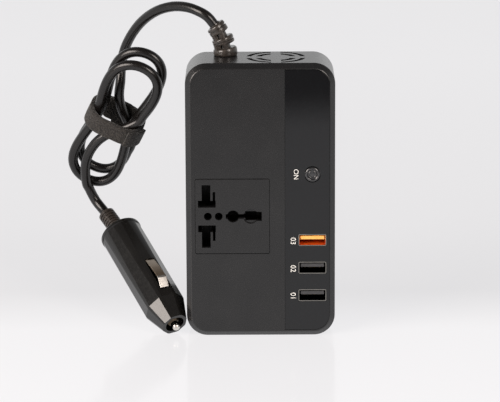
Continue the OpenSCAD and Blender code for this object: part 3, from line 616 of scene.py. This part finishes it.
def band(name, grow, height, thickness, keep):
    """One layer of the strap, grown from the inner outline, its faces kept where keep agrees."""
    w, d = 12.6 + grow, 10 + grow
    obj = rounded(name, (-w, -d, -height / 2), (w, d, height / 2), 8 + grow, 14, along=2)
    pick(obj, "FACE", lambda c, n: abs(n.z) > 0.99 or not keep(c))
    bpy.ops.mesh.delete(type="FACE")
    done()
    pick_all(obj)
    bpy.ops.mesh.subdivide(number_cuts=5)
    done()
    modify(obj, "SOLIDIFY", thickness=thickness * MM, offset=1)
    return modify(obj, "BEVEL", width=0.4 * MM, segments=3, limit_method="ANGLE")


tie = band("cord_strap", -0.8, 8.6, 2.3, lambda c: True)
lap = band("strap_lap", 1.55, 8.3, 1.5, lambda c: c.x > 8 and c.y < -3)
head = rounded("strap_head", (-6.5, 9.8, -7.6), (6.5, 11.6, 4.4), 2.4, 6)
combine(head, rounded("end", (-1, 9.9, -11), (8.5, 11.5, -3), 1.8, 6), "UNION")
round_rim(head, looks_back, 0.4, 3)
only(tie)
lap.select_set(True)
head.select_set(True)
bpy.ops.object.join()
place(tie, hank_place)
soften(tie, 40)
print("tie:", len(tie.data.polygons), "faces")

# %% [markdown]
# ## Lighter plug
# The plug is turned and moulded round one axis: a body with eight long flats, a tapered nose cap,
# a sprung tip, two bent side contacts and a ribbed sleeve. Each is modelled upright at the origin,
# nose down, and then placed along the leaning axis. The flats come from an intersection with an
# eight-sided cone, as a planed cylinder would give.

# %% Plug body
plug_roll, nose_len = math.radians(9), 11
plug_place = Matrix.Translation(plug_nose * MM) @ Matrix.Rotation(plug_turn, 4, "Z")
plug_place = plug_place @ Matrix.Rotation(plug_lean - math.pi / 2, 4, "X")
plug_place = plug_place @ Matrix.Rotation(-plug_roll, 4, "Z")
contact_turn = Matrix.Rotation(plug_roll, 4, "Z")


def planed(name, z0, z1, r0, r1, flat0, flat1):
    """A round bar or cone with eight flats."""
    bar = post(name, 0, 0, z0, z1, r0, 128, r1)
    half_flat = math.radians(22.5)
    grow = 1 / math.cos(half_flat)
    flats = post("flats", 0, 0, z0 - 0.01, z1 + 0.01, flat0 * grow, 8, flat1 * grow)
    place(flats, Matrix.Rotation(half_flat, 4, "Z"))
    return combine(bar, flats, "INTERSECT")


plug = planed("plug_shell", nose_len, 60.6, 10, 10, 9.5, 9.85)
lip = arc(9.4, 61.6, 0.9, 0.9, range(0, 91, 10))
collar = lathe("collar", [(0, 60.4), (9.95, 60.4), (10.3, 60.7), *lip, (0, 62.5)], 96)
combine(plug, collar, "UNION")
for z0, z1, r in ((10, 45.5, 7.2), (47, 58, 7.2), (57.5, 64, 3.1)):
    combine(plug, post("bore", 0, 0, z0, z1, r, 48))
for side in (-1, 1):
    ys = sorted((0, 12 * side))
    slot = rounded("contact_slot", (-2.8, ys[0], 15.2), (2.8, ys[1], 34.7), 0.8, 4)
    combine(plug, place(slot, contact_turn))
place(soften(plug, 6), plug_place)
print("plug body:", len(plug.data.polygons), "faces")

# %% Nose cap
nose = planed("plug_nose", 0, nose_len, 6.3, 10, 6, 9.5)
combine(nose, post("thread", 0, 0, 10.5, 14, 6.9), "UNION")
combine(nose, post("mouth", 0, 0, -1, 6, 4.6))
combine(nose, post("throat", 0, 0, 5, 9, 2.9, 48))
combine(nose, post("seat", 0, 0, 8.5, 15, 5.2, 48))
place(soften(nose, 6), plug_place)
print("nose cap:", len(nose.data.polygons), "faces")

# %% Sleeve
sleeve_r, groove_r, rib_pitch = 4.1, 3.65, 1.6
ribs = [(0, 56.5), (4.6, 56.5), (4.6, 58), (2.8, 58), (2.8, 62.5), (3.7, 62.5), (sleeve_r, 62.8),
        (sleeve_r, 65.3)]
for i in range(6):
    z = 65.4 + rib_pitch * i
    ribs += [(groove_r, z + 0.1), (groove_r, z + 0.7), (sleeve_r, z + 0.8), (sleeve_r, z + 1.5)]
ribs += [(sleeve_r, 75.6), (3.7, sleeve_top), (0, sleeve_top)]
bent = plug_axis.rotation_difference(sleeve_axis).to_matrix().to_4x4()
lean = Matrix.Translation(sleeve_foot * MM) @ bent @ Matrix.Translation(-sleeve_foot * MM)
sleeve = place(soften(lathe("plug_sleeve_piece", ribs)), lean @ plug_place)
print("sleeve:", len(sleeve.data.polygons), "faces")

# %% Tip
tip_profile = [(0, -3.3)]
tip_profile += arc(0, -1.4, 1.9, 1.9, range(-80, 1, 10))
tip_profile += [(1.9, 0.7), (2.4, 0.9), (3.1, 1.5), (3.4, 1.75), (3.4, 3.15), (3.25, 3.3), (2.6, 3.35),
                (2.6, 8.6), (4.6, 8.6), (4.6, 10.4), (0, 10.4)]
tip = place(soften(lathe("plug_tip", tip_profile, 48)), plug_place)
print("tip:", len(tip.data.polygons), "faces")

# %% Side contacts
leaf_half, leaf_thick, bend_reach = 2.3, 0.55, 0.6
corners = [Vector((0, -y, z)) for y, z in ((6.4, 42), (6.4, 38), (6.9, 35.9), (9.2, 34.2), (10.3, 28.5),
                                           (11, 21.2), (8.4, 16.8))]
bow = [corners[0]]
for a, b, c in zip(corners, corners[1:], corners[2:]):
    before = b + (a - b).normalized() * bend_reach
    after = b + (c - b).normalized() * bend_reach
    bow += [before, (before + 2 * b + after) / 4, after]
bow.append(corners[-1])


def leaf(name, side):
    """A bent strip along the bow, with thickness and broken edges."""
    points = [Vector((x, q.y * side, q.z)) * MM for q in bow for x in (-leaf_half, leaf_half)]
    faces = [(2 * i, 2 * i + 1, 2 * i + 3, 2 * i + 2) for i in range(len(bow) - 1)]
    obj = from_points(name, points, [], faces)
    modify(obj, "SOLIDIFY", thickness=leaf_thick * MM, offset=0)
    modify(obj, "BEVEL", width=0.12 * MM, segments=2, limit_method="ANGLE")
    pick_all(obj)
    bpy.ops.mesh.normals_make_consistent(inside=False)
    done()
    return place(soften(obj, 40), plug_place @ contact_turn)


leaves = [leaf("side_leaf_a", 1), leaf("side_leaf_b", -1)]
print("side contacts:", [len(o.data.polygons) for o in leaves], "faces")

# %% [markdown]
# ## Printed marks
# White ink on the gloss strip. Only plain signs are drawn: a number by each port, and a word by the
# button. Text becomes a mesh, two hundredths of a millimetre thick, so that it stays with the strip.

# %% Marks
ink_y, half_ink = -17.015, 0.01
reads_down = Matrix.Rotation(math.pi / 2, 4, "Y") @ Matrix.Rotation(math.pi / 2, 4, "X")


def printed(name, words, x, z, size):
    """Words that read downwards, centred on x and z, printed on the strip."""
    bpy.ops.object.select_all(action="DESELECT")
    bpy.ops.object.text_add()
    obj = bpy.context.object
    obj.name = name
    obj.data.body, obj.data.size = words, size * MM
    obj.data.align_x, obj.data.align_y = "CENTER", "CENTER"
    obj.data.extrude = half_ink * MM
    bpy.ops.object.convert(target="MESH")
    return place(bpy.context.object, at(x, ink_y, z) @ reads_down)


marks = [printed("mark_button", "ON", 16.6, button_z, 3.2)]
for i, z in enumerate(port_heights):
    marks.append(printed(f"mark_port_{i + 1}", f"0{i + 1}", 15.2, z - 0.4, 3.5))
print("marks:", [len(o.data.polygons) for o in marks])

# %% [markdown]
# ## Materials
# Every finish is a small tree of nodes that reads Object coordinates, in metres. A pattern of a
# given size in millimetres has a scale of one thousand over that size. Colours are written as
# sRGB hex values, as a paint chart gives them, and turned to linear light by one function.

# %% Material helpers
def paint(code):
    """An sRGB hex value as linear red, green, blue and alpha."""
    parts = [int(code[i:i + 2], 16) / 255 for i in (1, 3, 5)]
    return (*(v / 12.92 if v <= 0.04045 else ((v + 0.055) / 1.055) ** 2.4 for v in parts), 1)


def add(tree, kind, props=None, inputs=None, stops=()):
    """Adds a node. An input is a value, or a (node, output name) pair to link from. Stops are a ramp's."""
    node = tree.nodes.new(kind)
    for name, value in (props or {}).items():
        setattr(node, name, value)
    for name, value in (inputs or {}).items():
        if isinstance(value, tuple) and isinstance(value[0], bpy.types.Node):
            tree.links.new(value[0].outputs[value[1]], node.inputs[name])
        else:
            node.inputs[name].default_value = value
    for i, (reach, colour) in zip((0, -1), stops[:1] + stops[-1:]):
        node.color_ramp.elements[i].position, node.color_ramp.elements[i].color = reach, colour
    for reach, colour in stops[1:-1]:
        node.color_ramp.elements.new(reach).color = colour
    return node


def blank(name, sockets):
    """A new material with a shader whose plain values are set on its own sockets."""
    material = bpy.data.materials.new(name)
    material.use_nodes = True
    tree = material.node_tree
    tree.nodes.clear()
    shader = add(tree, "ShaderNodeBsdfPrincipled", None, sockets)
    add(tree, "ShaderNodeOutputMaterial", None, {"Surface": (shader, "BSDF")})
    coords = add(tree, "ShaderNodeTexCoord")
    return material, tree, shader, coords


print("node helpers ready")

# %% Finish helpers
def mottled(name, colours, patch, grain, rough, bump, sockets=None, stretch=(1, 1, 1)):
    """A finish of two close colours in patches, with a grain that moves roughness and height."""
    material, tree, shader, coords = blank(name, sockets)
    turned = add(tree, "ShaderNodeMapping", None, {"Vector": (coords, "Object"), "Scale": stretch})
    patches = add(tree, "ShaderNodeTexNoise", None,
                  {"Vector": (turned, "Vector"), "Scale": 1000 / patch, "Detail": 3.0})
    blend = add(tree, "ShaderNodeValToRGB", None, {"Fac": (patches, "Fac")},
                ((0.35, paint(colours[0])), (0.65, paint(colours[1]))))
    grains = add(tree, "ShaderNodeTexNoise", None,
                 {"Vector": (turned, "Vector"), "Scale": 1000 / grain, "Detail": 2.0})
    rougher = add(tree, "ShaderNodeMapRange", None,
                  {"Value": (grains, "Fac"), "From Min": 0.3, "From Max": 0.7,
                   "To Min": rough[0], "To Max": rough[1]})
    raised = add(tree, "ShaderNodeBump", None,
                 {"Height": (grains, "Fac"), "Strength": bump, "Distance": 0.12 * grain * MM})
    tree.links.new(blend.outputs["Color"], shader.inputs["Base Color"])
    tree.links.new(rougher.outputs["Result"], shader.inputs["Roughness"])
    tree.links.new(raised.outputs["Normal"], shader.inputs["Normal"])
    return material


def turning(material, way, start, end, code):
    """Lets a finish turn to another colour along a direction, between two places in millimetres."""
    tree = material.node_tree
    socket = tree.nodes["Principled BSDF"].inputs["Base Color"]
    coords = add(tree, "ShaderNodeTexCoord")
    reach = add(tree, "ShaderNodeVectorMath", {"operation": "DOT_PRODUCT"}, {0: (coords, "Object"), 1: way})
    change = add(tree, "ShaderNodeMapRange", None,
                 {"Value": (reach, "Value"), "From Min": start * MM, "From Max": end * MM})
    mix = add(tree, "ShaderNodeMix", {"data_type": "RGBA"}, {"Factor": (change, "Result")})
    tree.links.new(socket.links[0].from_socket, mix.inputs["A"])
    mix.inputs["B"].default_value = paint(code)
    tree.links.new(mix.outputs["Result"], socket)
    return material


print("finish helpers ready")

# %% [markdown]
# ### Plastics and rubber
# The case is ABS moulded in a spark-eroded tool, which leaves a fine matt grain of about a third
# of a millimetre; it is drawn at half a millimetre so that it shows. The strip and the plug are
# polished mouldings with sharp reflections. The relief is soft rubber, dusty and uneven.

# %% Plastics
# Spark-eroded ABS: even, dark and half matt
case_abs = mottled("matt_moulded_abs", ("#171718", "#1b1b1c"), 18, 0.5, (0.23, 0.31), 0.1)
# Smoked acrylic: nearly black, with a mirror's sharp edges
strip_acrylic = mottled("smoked_acrylic", ("#08080a", "#0a0a0c"), 25, 3, (0.05, 0.07), 0.01)
# Inner ABS: black and dull, so that the slots stay quiet
inner_abs = mottled("black_moulded_abs", ("#0b0b0c", "#111112"), 9, 0.6, (0.45, 0.6), 0.2)
# PBT of two tongues: black plastic painted mid grey as a painted highlight; plain and half matt
tongue_abs = mottled("pbt_painted_highlight", ("#343436", "#3c3c3e"), 5, 0.5, (0.3, 0.4), 0.1)
# Orange PBT of the third port: pale on the tongue as a painted highlight, and deep orange on the
# lining below it as painted shade
orange_abs = turning(mottled("orange_moulded_pbt", ("#ffa850", "#ffb462"), 5, 0.5, (0.3, 0.4), 0.1),
                     (0, 0, 1), 46.95, 46.7, "#d2500f")
# Polished ABS of the button: a thin bright line on each bead
button_abs = mottled("polished_moulded_abs", ("#1d1d1f", "#232325"), 6, 0.9, (0.14, 0.2), 0.03,
                     {"Specular IOR Level": 0.9})
# Natural nylon of the switch plunger: creamy and half matt
natural_abs = mottled("natural_nylon", ("#cfccc2", "#dad7cd"), 5, 0.5, (0.4, 0.5), 0.1)
# Phenolic of the plug: black and polished, so that each flat has its own tone
plug_abs = mottled("polished_moulded_phenolic", ("#131211", "#171615"), 14, 1.6, (0.13, 0.2), 0.03)
# Rubber of the relief and the sleeve: brownish, with dust in its grain
relief_rubber = mottled("dusty_moulded_rubber", ("#2b2724", "#3b3632"), 2, 0.9, (0.17, 0.28), 0.22)
# Epoxy of the transistors: dull and black
transistor_epoxy = mottled("moulded_epoxy", ("#101011", "#171718"), 4, 0.4, (0.5, 0.65), 0.2)
# Screen ink of the marks: flat and white
ink = mottled("white_screen_ink", ("#deded9", "#e8e8e4"), 2, 0.4, (0.5, 0.6), 0.05)
print("plastics ready")

# %% [markdown]
# ### Cord jacket and strap
# The jacket is extruded PVC: smooth and slightly waxy, so its highlights are long and soft. The
# strap is woven nylon with a pile of loops, which scatters light at its edge (sheen) and hides any
# gloss. Towards its right end it turns a darker black.

# %% Jacket
cord_pvc = mottled("extruded_pvc_jacket", ("#0d0b0a", "#120f0e"), 12, 1.1, (0.24, 0.28), 0.004,
                   {"Specular IOR Level": 0.45})
print("jacket ready")

# %% Strap
loop_size, fluff_size = 0.8, 0.85
strap_nylon, tree, shader, coords = blank("nylon_loop_pile", {"Roughness": 0.95, "Sheen Weight": 0.15,
                                                              "Sheen Roughness": 0.5})
pile = add(tree, "ShaderNodeTexVoronoi", None, {"Vector": (coords, "Object"), "Scale": 1000 / loop_size})
fluff = add(tree, "ShaderNodeTexNoise", None,
            {"Vector": (coords, "Object"), "Scale": 1000 / fluff_size, "Detail": 4.0})
tone = add(tree, "ShaderNodeValToRGB", None, {"Fac": (fluff, "Fac")},
           ((0.36, paint("#110f0f")), (0.66, paint("#35322e"))))
loops = add(tree, "ShaderNodeBump", None,
            {"Height": (pile, "Distance"), "Strength": 0.9, "Distance": 0.0005})
tree.links.new(tone.outputs["Color"], shader.inputs["Base Color"])
tree.links.new(loops.outputs["Normal"], shader.inputs["Normal"])
strap_at = hank_c.dot(hank_v)
turning(strap_nylon, tuple(hank_v), strap_at + 9, strap_at + 11, "#0d0b0c")
print("strap ready")

# %% [markdown]
# ### Metals
# Plated contacts are nickel, polished on the tip and rubbed on the side contacts; the port shells
# are tinned steel; the contacts inside are spring brass, darkened as painted shade. Metals keep
# the default IOR, because their colour is the reflection itself. Some turn to another colour along
# a direction: the port shells go dark inside as painted shade, and the tip and the side contacts
# turn brown in bands.

# %% Metals
METAL = {"Metallic": 1.0}
along_plug, nose_at = tuple(plug_axis), plug_nose.dot(plug_axis)
# Bright nickel: a nearly clear mirror with fine rub marks
nickel = mottled("bright_nickel_plate", ("#cfcac2", "#dad6cf"), 6, 0.9, (0.14, 0.24), 0.04, METAL)
# Tinned steel: a grey rim, with painted shade that turns it near black inside the opening
shell_steel = turning(mottled("tinned_steel", ("#8b8883", "#9c9993"), 4, 0.8, (0.25, 0.38), 0.05, METAL),
                      (0, 1, 0), -16.75, -16.3, "#100f0e")
# Zinc plate of the screws: bluish and half bright
screw_zinc = mottled("zinc_plated_steel", ("#7f8286", "#94979a"), 3, 0.5, (0.3, 0.45), 0.08, METAL)
# Spring brass: a dark brown, painted shade for the contacts deep in the ports and the outlet
brass = mottled("spring_brass_painted_shade", ("#3d3018", "#57441f"), 5, 0.8, (0.25, 0.4), 0.05, METAL)
# Aluminium of the heatsink: pale, with lines along the extrusion
sink_metal = mottled("extruded_aluminium", ("#a3a6aa", "#b4b7ba"), 5, 0.8, (0.3, 0.42), 0.06, METAL,
                     (1, 1, 0.08))
# Rubbed nickel of the side contacts: pale below the bow, brown above it and pale again higher up
leaf_nickel = mottled("rubbed_nickel_plate", ("#ebe7e0", "#f4f1ec"), 6, 0.9, (0.33, 0.4), 0.03, METAL)
turning(leaf_nickel, along_plug, nose_at + 21.3, nose_at + 22.2, "#a08d79")
turning(leaf_nickel, along_plug, nose_at + 24, nose_at + 34, "#e0d3c3")
# Nickel of the tip: bright at the point and a dark brown from the nose inwards
tip_nickel = turning(mottled("tip_nickel_plate", ("#cfcac2", "#dad6cf"), 6, 0.9, (0.14, 0.22), 0.03, METAL),
                     along_plug, nose_at - 0.4, nose_at + 0.8, "#4d4337")
print("metals ready")

# %% [markdown]
# ### Inside the case
# These pieces hide behind the walls and show only through the grille and the slots: ferrite, taped
# winding, sleeved capacitors, green laminate and the glass of the fuse.

# %% Inner finishes
board_laminate = mottled("solder_masked_laminate", ("#163d22", "#1f5230"), 3, 1.2, (0.3, 0.45), 0.15)
ferrite = mottled("ground_ferrite", ("#3a3a3d", "#47474a"), 4, 0.5, (0.5, 0.65), 0.2)
tape = mottled("polyester_tape", ("#b57a10", "#c98c1c"), 6, 1.5, (0.2, 0.3), 0.08, None, (1, 1, 0.2))
cap_sleeve = mottled("shrink_sleeve", ("#182144", "#202c57"), 6, 1.2, (0.25, 0.35), 0.06)
fuse_glass = mottled("drawn_glass", ("#eef4f4", "#f6fafa"), 6, 2, (0.02, 0.06), 0.01,
                     {"Transmission Weight": 1.0, "IOR": 1.5})
print("inner finishes ready")

# %% [markdown]
# ## Put it together
# Every new piece rides on the body that its solid belongs to, stands for that solid, and names the
# record's finish that it takes. The solids that stay visible get their finish by the same names.

# %% Dress the solids
finishes = {
    "case_plastic": case_abs, "panel_gloss": strip_acrylic, "inner_plastic": inner_abs,
    "orange_plastic": orange_abs, "button_plastic": button_abs, "white_plastic": natural_abs,
    "screw_steel": screw_zinc, "shell_steel": shell_steel, "contact_brass": brass,
    "board_laminate": board_laminate, "core_ferrite": ferrite, "winding_tape": tape,
    "capacitor_sleeve": cap_sleeve, "sink_aluminium": sink_metal, "transistor_epoxy": transistor_epoxy,
    "relief_rubber": relief_rubber, "cord_jacket": cord_pvc, "tie_fabric": strap_nylon,
    "plug_plastic": plug_abs, "contact_nickel": nickel, "fuse_glass": fuse_glass}
node_slot = {s["node"]: s["material_slot"] for s in frame["record"]["subparts"]}


def dress(obj, material):
    """Gives a piece one material."""
    obj.data.materials.clear()
    obj.data.materials.append(material)


for name, obj in frame["nodes"].items():
    dress(obj, finishes[node_slot[name]])
print("dressed", len(frame["nodes"]), "solids in", len(finishes), "finishes")

# %% Dress and attach the pieces
stands_for = [
    (case_back, "case", ["rear_housing"]), (case_front, "case", ["front_cover"]),
    (strip, "case", ["control_panel"]), (outlet, "case", ["socket_plate"]),
    (button, "button", ["power_button"]), (relief, "case", ["strain_relief"]), (tie, "case", ["cord_tie"]),
    (supply_cord, "case", ["cord_lead", "cord_hank", "cord_tail"]), (plug, "case", ["plug_body"]),
    (nose, "case", ["nose_cap"]), (sleeve, "case", ["plug_sleeve"]), (tip, "tip", ["tip_contact"]),
    (leaves[0], "side_a", ["side_contact_a"]), (leaves[1], "side_b", ["side_contact_b"])]
stands_for += [(shells[i], "case", [f"usb_shell_{i + 1}"]) for i in range(3)]
stands_for += [(tongues[i], "case", [f"usb_tongue_{i + 1}"]) for i in range(3)]
for obj, body, nodes in stands_for:
    dress(obj, finishes[node_slot[nodes[0]]])
    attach(obj, body)
    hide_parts(*nodes)
for obj, finish in ((tongues[0], tongue_abs), (tongues[1], tongue_abs), (tip, tip_nickel),
                    (leaves[0], leaf_nickel), (leaves[1], leaf_nickel)):
    dress(obj, finish)
for obj in marks:
    dress(obj, ink)
    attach(obj, "case")
print("attached", len(stands_for), "pieces and", len(marks), "marks")

# %% [markdown]
# ## Floor and light
# A pale acrylic table that runs on to the background. The eye and every reflection see it as a pale
# sheet, brightest in front of the object and a shade darker just behind it, with a faint mirror
# image, while its plain part keeps the object's soft shadow. In reflections the table goes dim half
# a metre in front, so the upper end of the gloss strip goes dark, as it does in the photograph.

# %% Floor
bpy.ops.object.select_all(action="DESELECT")
bpy.ops.mesh.primitive_plane_add(size=1)
floor = bpy.context.object
floor.name = "floor"
place(floor, Matrix.Translation((0, 0.5, 0)) @ Matrix.Diagonal((9, 9, 1, 1)))
table, tree, shader, coords = blank("pale_acrylic_table", {"Base Color": paint("#ececed"), "Roughness": 0.5,
                                                           "Specular IOR Level": 0.1})
path = add(tree, "ShaderNodeLightPath")
across = add(tree, "ShaderNodeSeparateXYZ", None, {"Vector": (coords, "Object")})
print("floor", tuple(floor.dimensions))

# %% Pale sheet with a faint mirror image
along = add(tree, "ShaderNodeMapRange", None, {"Value": (across, "Y"), "From Min": -0.6, "From Max": 1.0})
sheet = add(tree, "ShaderNodeValToRGB", None, {"Fac": (along, "Result")},
            ((0.30, paint("#fdfcfe")), (0.372, paint("#fcfbfd")), (0.416, paint("#ebeaec")),
             (0.5, paint("#efeef0")), (0.80, paint("#f7f6f8"))))
ends = add(tree, "ShaderNodeMapRange", None, {"Value": (across, "Y"), "From Min": -0.60, "From Max": -0.50,
                                              "To Min": 0.2, "To Max": 1.0})
seen = add(tree, "ShaderNodeMath", {"operation": "MAXIMUM"},
           {0: (ends, "Result"), 1: (path, "Is Camera Ray")})
glow = add(tree, "ShaderNodeEmission", None, {"Color": (sheet, "Color"), "Strength": (seen, "Value")})
mirror = add(tree, "ShaderNodeBsdfGlossy", None, {"Roughness": 0.12})
grazing = add(tree, "ShaderNodeFresnel", None, {"IOR": 1.15})
polished = add(tree, "ShaderNodeMixShader", None,
               {0: (grazing, "Fac"), 1: (glow, "Emission"), 2: (mirror, "BSDF")})
print("sheet in", len(sheet.color_ramp.elements), "tones")

# %% Share of the sheet and the shadow
sheet_share = 0.85
looked = add(tree, "ShaderNodeMath", {"operation": "MULTIPLY"}, {0: (path, "Is Camera Ray"), 1: sheet_share})
mirrored = add(tree, "ShaderNodeMath", {"operation": "MAXIMUM"},
               {0: (path, "Is Glossy Ray"), 1: (path, "Is Transmission Ray")})
share = add(tree, "ShaderNodeMath", {"operation": "MAXIMUM"}, {0: (looked, "Value"), 1: (mirrored, "Value")})
both = add(tree, "ShaderNodeMixShader", None,
           {0: (share, "Value"), 1: (shader, "BSDF"), 2: (polished, "Shader")})
tree.links.new(both.outputs["Shader"], tree.nodes["Material Output"].inputs["Surface"])
dress(floor, table)
floor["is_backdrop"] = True
print("floor nodes:", len(tree.nodes))

# %% [markdown]
# The world is brightest low down behind the object and dim overhead and in front, as a studio with
# lit paper behind a table is. Two soft boxes, front left and right, at about twenty-five degrees of
# height, draw the long highlights on the cord and the plug.

# %% World
bpy.context.scene.view_settings.view_transform = "Standard"
world = bpy.data.worlds.new("studio")
bpy.context.scene.world = world
world.use_nodes = True
tree = world.node_tree
tree.nodes.clear()
ways = add(tree, "ShaderNodeTexCoord")
parts = add(tree, "ShaderNodeSeparateXYZ", None, {"Vector": (ways, "Generated")})
height = add(tree, "ShaderNodeValToRGB", None, {"Fac": (parts, "Z")},
             ((0.15, (1.0, 1.0, 1.0, 1)), (0.5, (0.42, 0.42, 0.425, 1)), (0.9, (0.2, 0.2, 0.203, 1))))
depth = add(tree, "ShaderNodeMapRange", None, {"Value": (parts, "Y"), "From Min": -0.9, "From Max": 0.4,
                                               "To Min": 0.18, "To Max": 1.0})
lit = add(tree, "ShaderNodeBackground", None, {"Color": (height, "Color"), "Strength": (depth, "Result")})
add(tree, "ShaderNodeOutputWorld", None, {"Surface": (lit, "Background")})
print("world nodes:", len(tree.nodes))

# %% Soft boxes
def softbox(name, where, aim, size, power):
    """A large soft area lamp, slightly warm, that looks at a point."""
    lamp = bpy.data.lights.new(name, "AREA")
    lamp.shape, lamp.size, lamp.size_y, lamp.energy = "RECTANGLE", size[0], size[1], power
    lamp.color = paint("#fff4ec")[:3]
    obj = bpy.data.objects.new(name, lamp)
    bpy.context.scene.collection.objects.link(obj)
    obj.location = where
    obj.rotation_euler = (Vector(aim) - Vector(where)).to_track_quat("-Z", "Y").to_euler()
    return obj


lamps = [softbox("left_softbox", (-0.95, -0.78, 0.57), (-0.03, 0, 0.06), (0.8, 0.75), 21),
         softbox("right_softbox", (0.7, -1.0, 0.66), (0, 0, 0.06), (0.5, 0.6), 9.8)]
print("lamps:", [lamp.name for lamp in lamps])

# %% [markdown]
# ## Size
# The box of the dressed model, without the floor, is printed. The dressed model has to stay inside
# the box of the imported solids.

low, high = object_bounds()
print("visual box", [round(v, 4) for v in (*low, *high)])
